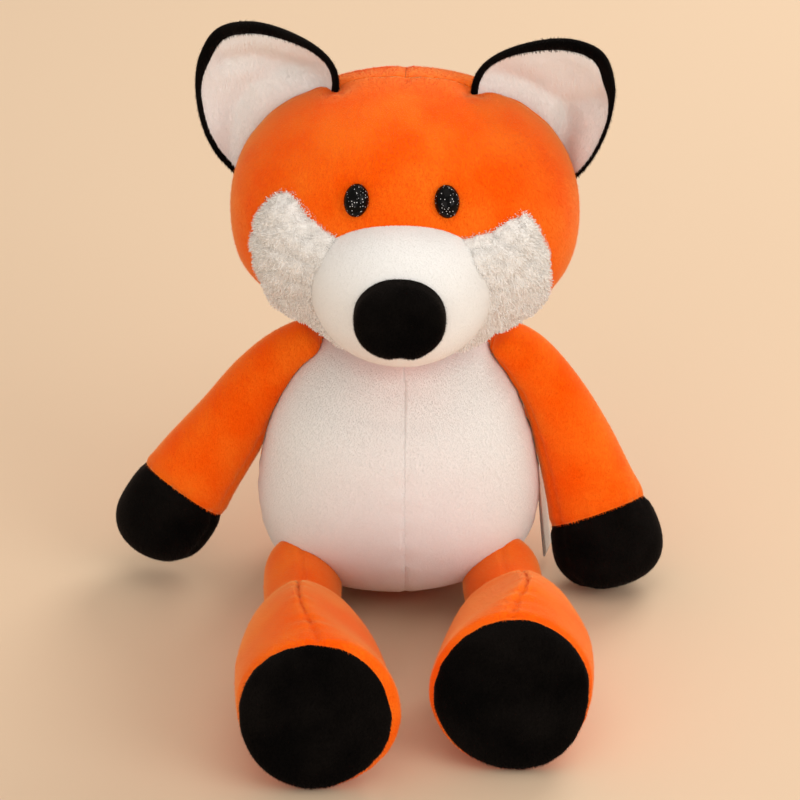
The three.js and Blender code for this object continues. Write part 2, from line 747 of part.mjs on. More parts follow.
const fox = new THREE.Group();
buildTorso(fox);
buildLabel(fox);
buildNeck(fox);
const head = new THREE.Group();
head.position.set(...NECK);
head.rotation.z = radians(HEAD_YAW);
fox.add(head);
buildHead(head);
for (const side of ["right", "left"]) {
  buildEar(head, side);
  buildArm(fox, side);
  buildLeg(fox, side);
  buildFoot(fox, side);
}
buildTail(fox);

export default fox;
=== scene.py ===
# %% [markdown]
# # A sitting plush fox
#
# The toy is sewn from short pile fabric and stuffed with loose fibre. Its hard shapes are few: two
# eyes with their washers. Everything else is cloth over filling, so this script makes each sewn
# panel as a smooth swollen surface, pulls it in along its seams, gives it a fabric wall and then
# covers it with real blades of pile.
#
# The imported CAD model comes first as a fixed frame. Its nodes carry the sizes, and the pieces made
# here stand in their places.

import math

import bmesh
import bpy
import numpy as np
from mathutils import Matrix, Vector
from mathutils.bvhtree import BVHTree
from mathutils.kdtree import KDTree


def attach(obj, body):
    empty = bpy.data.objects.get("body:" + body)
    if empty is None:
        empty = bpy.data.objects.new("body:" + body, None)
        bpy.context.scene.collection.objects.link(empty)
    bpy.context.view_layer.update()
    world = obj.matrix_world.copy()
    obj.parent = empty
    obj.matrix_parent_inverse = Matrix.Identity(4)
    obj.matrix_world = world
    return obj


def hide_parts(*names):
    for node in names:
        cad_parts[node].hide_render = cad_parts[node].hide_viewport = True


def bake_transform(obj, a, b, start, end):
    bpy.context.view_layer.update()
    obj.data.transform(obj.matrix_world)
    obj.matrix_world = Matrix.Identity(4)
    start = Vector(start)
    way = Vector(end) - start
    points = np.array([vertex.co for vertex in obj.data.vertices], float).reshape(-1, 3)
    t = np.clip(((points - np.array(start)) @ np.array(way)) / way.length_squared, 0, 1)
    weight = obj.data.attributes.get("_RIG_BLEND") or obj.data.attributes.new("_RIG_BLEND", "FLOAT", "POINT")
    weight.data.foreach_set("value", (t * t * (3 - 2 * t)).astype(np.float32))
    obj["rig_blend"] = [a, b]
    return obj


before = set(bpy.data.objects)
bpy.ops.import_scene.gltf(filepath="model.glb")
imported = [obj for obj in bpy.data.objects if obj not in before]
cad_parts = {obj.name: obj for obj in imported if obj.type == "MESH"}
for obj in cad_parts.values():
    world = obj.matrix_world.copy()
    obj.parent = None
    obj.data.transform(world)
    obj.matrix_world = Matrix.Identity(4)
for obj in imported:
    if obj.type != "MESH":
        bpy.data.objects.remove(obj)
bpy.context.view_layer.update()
MM = 0.001

# %% [markdown]
# ## Camera, light and floor
#
# The photograph looks down at the toy by 30 degrees through a long lens, so near and far parts keep
# almost the same scale. A camera 2.5 m away with a 225 mm lens gives that look. One large soft lamp
# stands to the right of the camera, as the window does in the photograph. A wider one, low on the
# left, keeps the shaded side bright, and two from above pick out the pile on the upper sides.

# %% Camera
LOOK_AT = Vector((-2.5, 0, 101)) * MM
CAMERA_DISTANCE = 2.5
CAMERA_PITCH = math.radians(30)
LENS_MM, SENSOR_MM = 225, 36
SEES_TO = 50  # metres
SIGHT = np.array((0, -math.cos(CAMERA_PITCH), math.sin(CAMERA_PITCH)))  # from the toy to the camera
LINE_OF_SIGHT = Vector(SIGHT)


def put(name, data):
    """Adds an object to the scene."""
    thing = bpy.data.objects.new(name, data)
    bpy.context.scene.collection.objects.link(thing)
    return thing


camera = put("camera", bpy.data.cameras.new("camera"))
camera.data.lens = LENS_MM
camera.data.sensor_width = SENSOR_MM
camera.data.clip_end = SEES_TO
camera.location = LOOK_AT + LINE_OF_SIGHT * CAMERA_DISTANCE
camera.rotation_euler = (math.pi / 2 - CAMERA_PITCH, 0, 0)
bpy.context.scene.camera = camera
print("camera stands at", [round(v, 3) for v in camera.location])

# %% Lamps
LAMPS = {  # where it stands and how wide it is in metres, then its watts and colour
    "key_lamp": ((1.4, -1.2, 0.95), 1.2, 12.5, (1.0, 0.985, 0.965)),
    "fill_lamp": ((-0.8, -2.0, 0.3), 1.8, 15.5, (1.0, 0.93, 0.86)),
    "back_lamp": ((0.8, 1.2, 1.3), 1.0, 15.5, (1.0, 0.96, 0.9)),
    "top_lamp": ((0.1, -0.3, 1.5), 1.2, 4, (1.0, 0.95, 0.88)),
}
ROOM_LIGHT = {"Color": (1.0, 0.93, 0.86, 1), "Strength": 0.6}

for name, (place, width, watts, colour) in LAMPS.items():
    lamp = put(name, bpy.data.lights.new(name, "AREA"))
    lamp.data.size, lamp.data.energy, lamp.data.color = width, watts, colour
    lamp.location = place
    lamp.rotation_euler = (LOOK_AT - Vector(place)).to_track_quat("-Z", "Y").to_euler()

world = bpy.data.worlds.new("studio")
world.use_nodes = True
for setting, value in ROOM_LIGHT.items():
    world.node_tree.nodes["Background"].inputs[setting].default_value = value
bpy.context.scene.world = world
bpy.context.scene.view_settings.view_transform = "Standard"
print("hung", len(LAMPS), "lamps")


# %% Materials from nodes
def set_inputs(tree, node, inputs):
    """Gives some inputs of a node another node's output to read, or a plain value."""
    for name, value in inputs.items():
        if isinstance(value, bpy.types.NodeSocket):
            tree.links.new(value, node.inputs[name])
        else:
            node.inputs[name].default_value = value


def add_node(tree, kind, inputs=None, **settings):
    """Adds a node with its settings and inputs."""
    node = tree.nodes.new(kind)
    for setting, value in settings.items():
        setattr(node, setting, value)
    set_inputs(tree, node, inputs or {})
    return node


def new_material(name):
    """A new material, and the tree of nodes that makes it."""
    material = bpy.data.materials.new(name)
    material.use_nodes = True
    return material, material.node_tree


def set_shader(tree, inputs):
    """Sets inputs of a material's main shader, and returns what it puts out."""
    shader = tree.nodes["Principled BSDF"]
    set_inputs(tree, shader, inputs)
    return shader.outputs["BSDF"]


FLOOR_HALF = 4.0
FLOOR_COLOUR = (0.74, 0.565, 0.40, 1)


def lay_floor():
    """A pale floor. It can't be seen from below, so that the toy's underside can."""
    corners = [(x * FLOOR_HALF, y * FLOOR_HALF, 0) for x, y in ((-1, -1), (1, -1), (1, 1), (-1, 1))]
    mesh = bpy.data.meshes.new("floor")
    mesh.from_pydata(corners, [], [(0, 1, 2, 3)])
    paint, tree = new_material("pale_floor")
    matt = {"Base Color": FLOOR_COLOUR, "Roughness": 0.9, "Specular IOR Level": 0.2}
    plain = set_shader(tree, matt)
    below = add_node(tree, "ShaderNodeNewGeometry").outputs["Backfacing"]
    clear = add_node(tree, "ShaderNodeBsdfTransparent").outputs["BSDF"]
    either = add_node(tree, "ShaderNodeMixShader", {"Fac": below, 1: plain, 2: clear})
    set_inputs(tree, tree.nodes["Material Output"], {"Surface": either.outputs["Shader"]})
    mesh.materials.append(paint)
    put("floor", mesh)


lay_floor()

# %% [markdown]
# ## Finishes
#
# Short pile looks soft because light catches the tips of the fibres at the edges of a form. The
# fabric material therefore has a fine noise for the pile's grain, a slow noise for the places where
# the nap is brushed another way, which get the pale tone as a painted sheen, and sheen for the pale
# rim. Both noises read Object coordinates in metres, so a pattern stays the same size on every
# piece.

# %% Fabric material
GRAIN_SCALE = 1500  # noise cells for each metre: a cell is about one tuft of fibres
# The patches of this slow noise show the pale tone, a painted sheen where the nap lies another way.
NAP_SHEEN_SCALE = 38  # patches a few centimetres wide where the nap lies another way
NOISE_LOW, NOISE_HIGH = 0.35, 0.65  # where a noise shows all of the first or the second colour


def place_of(tree):
    return add_node(tree, "ShaderNodeTexCoord").outputs["Object"]


def noise(tree, scale, detail):
    inputs = {"Vector": place_of(tree), "Scale": scale, "Detail": detail}
    return add_node(tree, "ShaderNodeTexNoise", inputs).outputs["Fac"]


def mix_colours(tree, share, first, second):
    inputs = {"Factor": share, "A": first, "B": second}
    return add_node(tree, "ShaderNodeMix", inputs, data_type="RGBA").outputs["Result"]


def mottle(tree, value, low, high, first, second):
    """The first colour where a value is low, the second where it is high, and a mix between."""
    inputs = {"Value": value, "From Min": low, "From Max": high}
    share = add_node(tree, "ShaderNodeMapRange", inputs).outputs["Result"]
    return mix_colours(tree, share, (*first, 1), (*second, 1))


def fabric(name, deep, plain, pale, sheen, glow, relief_mm):
    """Short pile: three tones of one colour, the pale one a painted sheen, a sheen, and for the cloth itself
    a relief.
    """
    material, tree = new_material(name)
    grain = noise(tree, GRAIN_SCALE, detail=2)
    grained = mottle(tree, grain, NOISE_LOW, NOISE_HIGH, deep, plain)
    nap = noise(tree, NAP_SHEEN_SCALE, detail=3)
    # Where the nap lies another way the cloth gets its pale tone: a painted sheen over the plain colour.
    nap_sheen_tone = mottle(tree, nap, NOISE_LOW, NOISE_HIGH, plain, pale)
    set_shader(tree, {
        "Base Color": mix_colours(tree, 0.5, nap_sheen_tone, grained), "Roughness": 0.92,
        "Specular IOR Level": 0.03, "Sheen Weight": sheen, "Sheen Roughness": 0.4,
        "Sheen Tint": (*glow, 1),
    })
    if relief_mm:
        inputs = {"Height": grain, "Strength": 0.4, "Distance": relief_mm * MM}
        relief = add_node(tree, "ShaderNodeBump", inputs)
        set_shader(tree, {"Normal": relief.outputs["Normal"]})
    return material


# Each fabric's pale tone is painted sheen, shown in the patches where the nap lies another way.
FABRIC_TONES = {  # deep, plain and pale tone, how strong the sheen is, and its colour
    "orange": (
        (0.86, 0.080, 0.001), (0.97, 0.120, 0.001), (1.0, 0.24, 0.015), 1.0, (1.0, 0.62, 0.24),
    ),
    "white": (
        (0.82, 0.815, 0.80), (0.875, 0.875, 0.865), (0.905, 0.905, 0.895), 0.2, (1.0, 0.98, 0.96),
    ),
    "cream": (
        (0.96, 0.94, 0.915), (0.98, 0.965, 0.945), (0.99, 0.985, 0.97), 0.4, (1.0, 0.97, 0.93),
    ),
    "black": (
        (0.0010, 0.0009, 0.0008), (0.0018, 0.0015, 0.0014), (0.009, 0.0072, 0.0064), 0.12,
        (0.5, 0.40, 0.36),
    ),
}
CLOTH, BLADES = (
    {name: fabric(name + ending, *tones, relief_mm) for name, tones in FABRIC_TONES.items()}
    for ending, relief_mm in (("_fabric", 0.3), ("_blades", 0))
)
print("made", len(CLOTH) + len(BLADES), "fabric finishes")


# %% Hard and loose finishes
def plain_finish(name, dark, colour, roughness, scale=400):
    """A finish with a faint mottling: moulded plastic, satin or loose fibre."""
    material, tree = new_material(name)
    mottled = mottle(tree, noise(tree, scale, detail=3), NOISE_LOW, NOISE_HIGH, dark, colour)
    set_shader(tree, {"Base Color": mottled, "Roughness": roughness})
    return material


GLITTER_SCALE = 720  # cells for each metre, with one speck in each
GLITTER_EDGE, GLITTER_CORE = 0.21, 0.14  # from a cell's middle, where a speck begins and is full
EYE_BLACK, GLITTER_SILVER = (0.0015, 0.0015, 0.0015), (0.6, 0.6, 0.63)


def eye_finish():
    """Black polished plastic with fine silver glitter set in it."""
    material, tree = new_material("glitter_eye")
    inputs = {"Vector": place_of(tree), "Scale": GLITTER_SCALE}
    cells = add_node(tree, "ShaderNodeTexVoronoi", inputs)
    distance = cells.outputs["Distance"]
    specks = mottle(tree, distance, GLITTER_EDGE, GLITTER_CORE, EYE_BLACK, GLITTER_SILVER)
    set_shader(tree, {"Base Color": specks, "Roughness": 0.16, "Specular IOR Level": 0.10})
    return material


FIBRE = plain_finish("loose_fibre", (0.704, 0.704, 0.696), (0.88, 0.88, 0.87), roughness=1.0)
WASHER = plain_finish("washer_plastic", (0.624, 0.616, 0.592), (0.78, 0.77, 0.74), roughness=0.5)
RIBBON = plain_finish("satin_ribbon", (0.74, 0.74, 0.73), (0.86, 0.86, 0.85), roughness=0.35,
                      scale=1200)
EYE = eye_finish()
print("and the finishes of", *(finish.name for finish in (FIBRE, WASHER, RIBBON, EYE)))

# %% [markdown]
# ## The stuffed form
#
# A stuffed limb or body is a row of oval sections along a curved middle line, closed by a rounded
# end at each side. One function makes them all: a smooth curve runs through a few given stations,
# and the sections between take their width from a second curve. Sizes are in millimetres here and
# turn into metres only when the mesh is made.

# %% Smooth curves
SIDES_X = {"right": -1, "left": 1}  # the toy's own sides along X
TOUCHING = 1e-4  # points nearer than this are one point to a curve
FINE_STEPS = 400  # steps along a curve where its length is measured
SHORT_STEP = 1e-3  # to each side of a place, to find which way the curve runs there


def spline(points, places, closed=False):
    """Points on a smooth curve through the given ones, at places from 0 to 1 along its spans."""
    p = np.asarray(points, float)
    count = len(p)
    spans = count if closed else count - 1
    along = np.clip(np.asarray(places, float), 0, 1) * spans
    first = np.minimum(along.astype(int), spans - 1)
    if closed:
        p0, p1, p2, p3 = (p[(first + k) % count] for k in (-1, 0, 1, 2))
    else:
        ends = np.vstack([2 * p[0] - p[1], p, 2 * p[-1] - p[-2]])
        p0, p1, p2, p3 = (ends[first + k] for k in range(4))
    pairs = ((p0, p1), (p1, p2), (p2, p3))
    d0, d1, d2 = (np.sqrt(np.linalg.norm(b - a, axis=1)) for a, b in pairs)
    d1 = np.where(d1 < TOUCHING, 1, d1)[:, None]
    d0, d2 = (np.where(d[:, None] < TOUCHING, d1, d[:, None]) for d in (d0, d2))
    leave = ((p1 - p0) / d0 - (p2 - p0) / (d0 + d1) + (p2 - p1) / d1) * d1
    arrive = ((p2 - p1) / d1 - (p3 - p1) / (d1 + d2) + (p3 - p2) / d2) * d1
    w = (along - first)[:, None]
    bend = -3 * p1 + 3 * p2 - 2 * leave - arrive
    return p1 + leave * w + bend * w**2 + (2 * p1 - 2 * p2 + leave + arrive) * w**3


def run_lengths(path):
    """How far along a path each of its points lies."""
    steps = np.linalg.norm(np.diff(path, axis=0), axis=1)
    return np.concatenate([[0], np.cumsum(steps)])


def fine_line(stations):
    """Places along a form's middle line, its points there and its length up to each."""
    fine = np.linspace(0, 1, FINE_STEPS + 1)
    path = spline([at for at, _ in stations], fine)
    return fine, path, run_lengths(path)


# %% The stuffed form as points and faces
def unit(rows):
    return rows / np.linalg.norm(rows, axis=1)[:, None]


def stuffed_form(form, sides, rings):
    """Points in mm, faces and their map places. rings counts them in the first end, between the
    ends and in the last one."""
    stations = form["stations"]
    fine, path, run = fine_line(stations)
    length = run[-1]

    def in_end(step, end):
        """How deep a ring of a rounded end lies, and its share of the full width."""
        cap, power = form["caps"][end], form["fullness"][end]
        depth = cap * (1 - math.cos(math.pi / 2 * step / rings[2 * end]))
        return depth, (1 - (1 - depth / cap) ** power) ** (1 / power)

    start, end = form["caps"]
    rows = [in_end(i, 0) for i in range(1, rings[0] + 1)]
    rows += [(start + (length - start - end) * i / rings[1], 1.0) for i in range(1, rings[1])]
    for i in range(rings[2] if rings[1] else rings[2] - 1, 0, -1):
        depth, share = in_end(i, 1)
        rows.append((length - depth, share))
    distance, share = np.array(rows).T
    places = np.interp(distance, run, fine)
    centres = [at for at, _ in stations]
    half = spline([(*size, 0.0) for _, size in stations], places)
    along = unit(spline(centres, places + SHORT_STEP) - spline(centres, places - SHORT_STEP))
    across = np.array(form.get("across", (1, 0, 0)), float)
    first = unit(across - along * (along @ across)[:, None])
    second = np.cross(along, first)
    angle = np.linspace(0, 2 * math.pi, sides, endpoint=False)
    power = 2 / form.get("squareness", 2)
    wide, high = (np.sign(v) * np.abs(v) ** power for v in (np.cos(angle), np.sin(angle)))
    ring_points = (
        spline(centres, places)[:, None]
        + first[:, None] * (half[:, :1] * share[:, None])[:, None] * wide[None, :, None]
        + second[:, None] * (half[:, 1:2] * share[:, None])[:, None] * high[None, :, None]
    )
    points = np.vstack([path[:1], ring_points.reshape(-1, 3), path[-1:]])
    return points, *form_faces(len(rows), sides, np.concatenate([[0], distance / length, [1]]))


def form_faces(rows, sides, heights):
    """Faces of a form with that many rings, and each corner's place on its map."""
    faces, places = [], []
    at = lambda ring, side: 1 + ring * sides + side % sides
    for j in range(sides):
        left, right = j / sides, (j + 1) / sides
        faces.append((0, at(0, j + 1), at(0, j)))
        places.append(((left, heights[0]), (right, heights[1]), (left, heights[1])))
        for i in range(rows - 1):
            low, high = heights[i + 1], heights[i + 2]
            faces.append((at(i, j), at(i, j + 1), at(i + 1, j + 1), at(i + 1, j)))
            places.append(((left, low), (right, low), (right, high), (left, high)))
        faces.append((1 + rows * sides, at(rows - 1, j), at(rows - 1, j + 1)))
        places.append(((left, heights[-1]), (left, heights[-2]), (right, heights[-2])))
    return faces, places


def sheet_faces(rows, columns, closed=False):
    """Faces of a sheet of points, or of a tube of them, and each corner's place on its map."""
    faces, places = [], []
    width = columns if closed else columns + 1
    for i in range(rows):
        low, high = i / rows, (i + 1) / rows
        for j in range(columns):
            left, right = j / columns, (j + 1) / columns
            a, b = i * width + j, i * width + (j + 1) % width
            faces.append((a, b, b + width, a + width))
            places.append(((left, low), (right, low), (right, high), (left, high)))
    return faces, places


def egg_form(centre, half, fullness):
    """A form round a centre whose middle line stands upright."""
    cx, cy, cz = centre
    return {
        "stations": [((cx, cy, cz + rise * half[2]), half[:2]) for rise in (-1, 0, 1)],
        "caps": (half[2], half[2]), "fullness": (fullness, fullness),
    }


# %% Meshes from points in millimetres
def new_mesh(name, points, faces, places=None):
    """A smooth mesh in metres, with the faces' map places as UVMap."""
    mesh = bpy.data.meshes.new(name)
    mesh.from_pydata([tuple(p) for p in np.asarray(points) * MM], [], faces)
    if places is not None:
        layer = mesh.uv_layers.new(name="UVMap")
        flat = np.array([c for face in places for c in face], np.float32)
        layer.data.foreach_set("uv", flat.ravel())
    mesh.shade_smooth()
    mesh.update()
    return mesh


def form_mesh(name, form, sides, rings):
    return new_mesh(name, *stuffed_form(form, sides, rings))


def reshaped(name, meshes, change=None):
    """A new mesh from one or more, after a change to their joined shape."""
    shape = bmesh.new()
    for mesh in meshes:
        shape.from_mesh(mesh)
    if change:
        change(shape)
    result = bpy.data.meshes.new(name)
    shape.to_mesh(result)
    shape.free()
    return result


def only(name, mesh, parts, kept):
    """A copy of a mesh without those of its verts or faces that fail a test."""
    def clear(shape):
        gone = [part for part in getattr(shape, parts) if not kept(part)]
        bmesh.ops.delete(shape, geom=gone, context=parts.upper())

    return reshaped(name, [mesh], clear)


def rows_of(items, what):
    flat = np.empty(len(items) * 3)
    items.foreach_get(what, flat)
    return flat.reshape(-1, 3)


def points_of(mesh):
    return rows_of(mesh.vertices, "co") / MM


def normals_of(mesh):
    return rows_of(mesh.vertex_normals, "vector")


def set_points(mesh, points):
    mesh.vertices.foreach_set("co", (np.asarray(points) * MM).ravel())
    mesh.update()


def press(mesh, *shapings):
    """Moves a mesh's points along their normals by the sum of some shaping functions, in mm."""
    points, normals = points_of(mesh), normals_of(mesh)
    depth = sum(shaping(points) for shaping in shapings)
    set_points(mesh, points + normals * depth[:, None])


# %% [markdown]
# ## What the thread does to the cloth
#
# Stuffing pushes the cloth out everywhere except at the seams, so each seam lies in a shallow
# valley, and short creases run away from it where the cloth gathers. The next functions each
# return how far every point moves out or in, so that a piece can add up as many as it needs.

# %% Valleys, dimples and gathers
SECOND_HEIGHT, SECOND_PACE, SECOND_START = 0.6, 0.63, 2.1  # of the wave that makes creases uneven
WAVES, WAVE_SHARE = 7, 3  # how many waves make a slow softness, and what their sum is divided by


def bump(distance, width):
    """1 where the distance is 0, and less over the width."""
    return np.exp(-((distance / width) ** 2))


def ease(values, low, high):
    """0 below the low value, 1 above the high one, and a smooth step between."""
    share = np.clip((np.asarray(values, float) - low) / (high - low), 0, 1)
    return share * share * (3 - 2 * share)


def to_plane(point, normal):
    """Gives how far points lie from a seam's plane."""
    point, normal = np.array(point, float), np.array(normal, float)
    return lambda points: np.abs((points - point) @ normal)


def valley(distance, depth, width):
    """A seam's valley, from the distance of each point to the seam."""
    return lambda points: -depth * bump(distance(points), width)


def dimple(centre, depth, width, folds=0, fold_depth=0.0):
    """A place where the cloth is pulled in, with creases that run out from it."""
    centre = np.array(centre, float)

    def shaping(points):
        away = points - centre
        near = bump(np.linalg.norm(away, axis=1), width)
        turn = np.arctan2(away[:, 2], away[:, 0])
        halfway = near * (1 - near) * 4  # 1 on the dimple's slope, 0 in its middle and outside
        return -depth * near + fold_depth * halfway * np.cos(folds * turn)

    return shaping


def gathers(distance, along, depth, reach, spacing, seed):
    """Short creases across a seam, spaced along a direction."""
    def shaping(points):
        turn = points @ np.array(along) / spacing * 2 * math.pi
        second = SECOND_HEIGHT * np.sin(turn * SECOND_PACE + SECOND_START * seed)
        return depth * (np.sin(turn + seed) + second) * bump(distance(points), reach)

    return shaping


def softness(depth, size, seed):
    """Slow unevenness of the filling under the cloth, as a sum of waves that run all ways."""
    random = np.random.default_rng(seed)
    waves = unit(random.normal(size=(WAVES, 3)))
    starts = random.uniform(0, 2 * math.pi, WAVES)

    def shaping(points):
        turns = points @ waves.T * (2 * math.pi / size) + starts
        return depth * np.sin(turns).sum(axis=1) / WAVE_SHARE

    return shaping


# %% [markdown]
# ## Panels
#
# A sewn panel is cut out of its form along the seam planes, gets a wall of fabric on its inner side
# and keeps its place. A panel is cut a hair short of the seam, so that two panels never share a
# face.

# %% Cut a panel and give it a wall
FABRIC_MM = 2.0
SEAM_MM = 0.03  # how far a panel ends short of its seam


def cut_panel(name, mesh, planes):
    """The part of a mesh on the side of each plane that its normal points to."""
    def cut(shape):
        for point, normal in planes:
            normal = Vector(normal).normalized()
            start = (Vector(point) + normal * SEAM_MM) * MM
            geometry = [*shape.verts, *shape.edges, *shape.faces]
            bmesh.ops.bisect_plane(
                shape, geom=geometry, plane_co=start, plane_no=normal, clear_inner=True
            )

    panel = reshaped(name, [mesh], cut)
    panel.shade_smooth()
    return panel


def settled(thing):
    """The mesh of an object with its modifiers worked in."""
    graph = bpy.context.evaluated_depsgraph_get()
    mesh = bpy.data.meshes.new_from_object(thing.evaluated_get(graph), depsgraph=graph)
    thing.modifiers.clear()
    return mesh


def add_piece(name, mesh, material):
    mesh.materials.clear()
    mesh.materials.append(material)
    return put(name, mesh)


def walled(name, mesh, material, thickness=FABRIC_MM, offset=-1):
    """A panel as a closed piece with a wall of fabric."""
    piece = add_piece(name, mesh, material)
    wall = piece.modifiers.new("wall", "SOLIDIFY")
    wall.thickness = thickness * MM
    wall.offset = offset
    wall.use_even_offset = False
    piece.data = settled(piece)
    piece.data.shade_smooth()
    return piece


# %% [markdown]
# ## Pile
#
# Pile is thousands of short fibres, so it is made by a Geometry Nodes tree: points are scattered
# over a panel, each gets a blade that stands out from the cloth and leans the way the nap is
# brushed, and random numbers from a fixed seed vary the lean and the length. One tree serves every
# fabric, and its inputs set the length, the spacing and the lean. Each blade also carries its
# root's place on the panel's map, as a map of its own named OFBake.

# %% Blades
BLADE_ARC = 0.12
WOOL_STEPS, WOOL_CURL, WOOL_RISE, WOOL_TAPER = 4, 3.6, 0.45, 0.6
HAIR_ON_MAP = 0.0012  # how wide and how long one blade is on the map


def fibre(name, points, faces):
    """One fibre. Each of its points gets its own small step on the map."""
    mesh = bpy.data.meshes.new(name)
    mesh.from_pydata(points, [], faces)
    steps = mesh.attributes.new("hair_width", "FLOAT_VECTOR", "POINT")
    for v in mesh.vertices:
        steps.data[v.index].vector = (HAIR_ON_MAP * (v.co.x + 0.5), HAIR_ON_MAP * v.co.z, 0)
    return bpy.data.objects.new(name, mesh)


def wool_fibre():
    """A narrow strip of long pile that rises and curls over."""
    points = []
    for i in range(WOOL_STEPS + 1):
        t = i / WOOL_STEPS
        turn = WOOL_CURL * t
        reach = (1 - math.cos(turn)) / WOOL_CURL
        height = math.sin(turn) / WOOL_CURL + WOOL_RISE * t
        half = 0.5 * (1 - WOOL_TAPER * t)
        points += [(-half, -reach, height), (half, -reach, height)]
    faces = [(2 * i, 2 * i + 1, 2 * i + 3, 2 * i + 2) for i in range(WOOL_STEPS)]
    wool = fibre("wool", points, faces)
    wool.data.shade_smooth()
    return wool


BLADE = fibre("blade", [(-0.5, 0, 0), (0.5, 0, 0), (0, -BLADE_ARC, 1)], [(0, 1, 2)])
WOOL = wool_fibre()

# %% The pile tree
PILE_INPUTS = {
    "Cloth": "Geometry", "Blade": "Object", "Blades per Area": "Float", "Length": "Float",
    "Width": "Float", "Lean": "Float", "Unruly": "Float", "Nap": "Vector", "Sink": "Float",
    "Seed": "Int", "Finish": "Material",
}
SHORTEST, LONGEST = 0.7, 1.25  # a blade's length, as a share of the length asked for
MAP_END = 0.999


def pile_tree():
    """Scatters blades over a surface. Lengths are in metres, areas in square metres."""
    tree = bpy.data.node_groups.new("pile", "GeometryNodeTree")
    for name, kind in PILE_INPUTS.items():
        tree.interface.new_socket(name, in_out="INPUT", socket_type="NodeSocket" + kind)
    tree.interface.new_socket("Pile", in_out="OUTPUT", socket_type="NodeSocketGeometry")
    given = tree.nodes.new("NodeGroupInput").outputs

    def vector(operation, *values, scale=None):
        """One step of vector arithmetic."""
        inputs = dict(enumerate(values))
        if scale is not None:
            inputs["Scale"] = scale
        node = add_node(tree, "ShaderNodeVectorMath", inputs, operation=operation)
        return node.outputs["Value" if operation == "DOT_PRODUCT" else "Vector"]

    def attribute(name):
        node = add_node(
            tree, "GeometryNodeInputNamedAttribute", {"Name": name}, data_type="FLOAT_VECTOR"
        )
        return node.outputs["Attribute"]

    seed = {"Seed": given["Seed"]}
    scatter = add_node(tree, "GeometryNodeDistributePointsOnFaces", {
        "Mesh": given["Cloth"], "Density": given["Blades per Area"], **seed,
    })
    normal = scatter.outputs["Normal"]
    against = vector("DOT_PRODUCT", given["Nap"], normal)
    along = vector("SUBTRACT", given["Nap"], vector("SCALE", normal, scale=against))
    flat_nap = vector("NORMALIZE", along)
    leaning = vector("ADD", normal, vector("SCALE", flat_nap, scale=given["Lean"]))
    anyway = add_node(tree, "FunctionNodeRandomValue", data_type="FLOAT_VECTOR")
    set_inputs(tree, anyway, {"Min": (-1, -1, -1), "Max": (1, 1, 1), **seed})
    stray = vector("SCALE", anyway.outputs["Value"], scale=given["Unruly"])

    stand = add_node(tree, "FunctionNodeAlignRotationToVector",
                     {"Vector": vector("ADD", leaning, stray)}, axis="Z")
    face_out = add_node(tree, "FunctionNodeAlignRotationToVector", {
        "Rotation": stand.outputs["Rotation"], "Vector": vector("SCALE", normal, scale=-1),
    }, axis="Y", pivot_axis="Z")

    vary = add_node(tree, "FunctionNodeRandomValue", seed, data_type="FLOAT")
    set_inputs(tree, vary, {2: SHORTEST, 3: LONGEST})
    longer = add_node(tree, "ShaderNodeMath", {0: vary.outputs[1], 1: given["Length"]},
                      operation="MULTIPLY")
    size = add_node(tree, "ShaderNodeCombineXYZ", {
        "X": given["Width"], "Y": given["Width"], "Z": longer.outputs[0],
    })
    rooted = add_node(tree, "GeometryNodeSetPosition", {
        "Geometry": scatter.outputs["Points"],
        "Offset": vector("SCALE", normal, scale=given["Sink"]),
    })
    blade = add_node(tree, "GeometryNodeObjectInfo", {"Object": given["Blade"]})
    plant = add_node(tree, "GeometryNodeInstanceOnPoints", {
        "Points": rooted.outputs["Geometry"], "Instance": blade.outputs["Geometry"],
        "Rotation": face_out.outputs["Rotation"], "Scale": size.outputs["Vector"],
    })
    real = add_node(tree, "GeometryNodeRealizeInstances", {"Geometry": plant.outputs["Instances"]})

    # Each blade takes its root's place on the cloth's map, spread so that it has some width.
    spread = vector("ADD", attribute("UVMap"), attribute("hair_width"))
    mapped = add_node(tree, "GeometryNodeStoreNamedAttribute", data_type="FLOAT2", domain="CORNER")
    set_inputs(tree, mapped, {
        "Name": "OFBake", "Geometry": real.outputs["Geometry"],
        "Value": vector("MINIMUM", spread, (MAP_END, MAP_END, MAP_END)),
    })
    finished = add_node(tree, "GeometryNodeSetMaterial", {
        "Geometry": mapped.outputs["Geometry"], "Material": given["Finish"],
    })
    add_node(tree, "NodeGroupOutput", {"Pile": finished.outputs["Geometry"]})
    return tree


PILE = pile_tree()
print("the pile tree has", len(PILE.nodes), "nodes")

# %% [markdown]
# ## Bodies that press on each other
#
# A stuffed arm that lies against the belly goes flat there. Points that would lie inside a
# neighbour are moved out to its surface, and for an arm this is done at several angles of its
# swing, so that it also clears the body when it moves.

# %% Push one form out of another
ON_FLOOR_MM = 0.2  # the lowest that cloth lies


def surface_tree(mesh):
    corners = [v.co / MM for v in mesh.vertices]
    return BVHTree.FromPolygons(corners, [p.vertices[:] for p in mesh.polygons])


def height_over(tree, point):
    """How many mm a point lies outside a closed surface, the nearest place and its normal."""
    place, normal, _, _ = tree.find_nearest(point)
    return (point - place).dot(normal), place, normal


def push_out(mesh, tree, clear, turns):
    """Moves a mesh's points out of a surface, at each of some turns of the mesh."""
    points = points_of(mesh)
    for turn in turns:
        home = turn.inverted()
        for i, point in enumerate(points):
            height, place, normal = height_over(tree, turn @ Vector(point))
            if height < clear:
                points[i] = home @ (place + normal * clear)
    set_points(mesh, points)


def bare_of(mesh, trees, margin):
    """A copy of a panel without the faces that lie under its neighbours, to grow pile on."""
    def in_the_open(face):
        middle = face.calc_center_median() / MM
        return all(height_over(tree, middle)[0] >= -margin for tree in trees)

    return only(mesh.name + "_bare", mesh, "faces", in_the_open)


def above_floor(mesh):
    """Flattens what would lie under the floor."""
    points = points_of(mesh)
    points[:, 2] = np.maximum(points[:, 2], ON_FLOOR_MM)
    set_points(mesh, points)


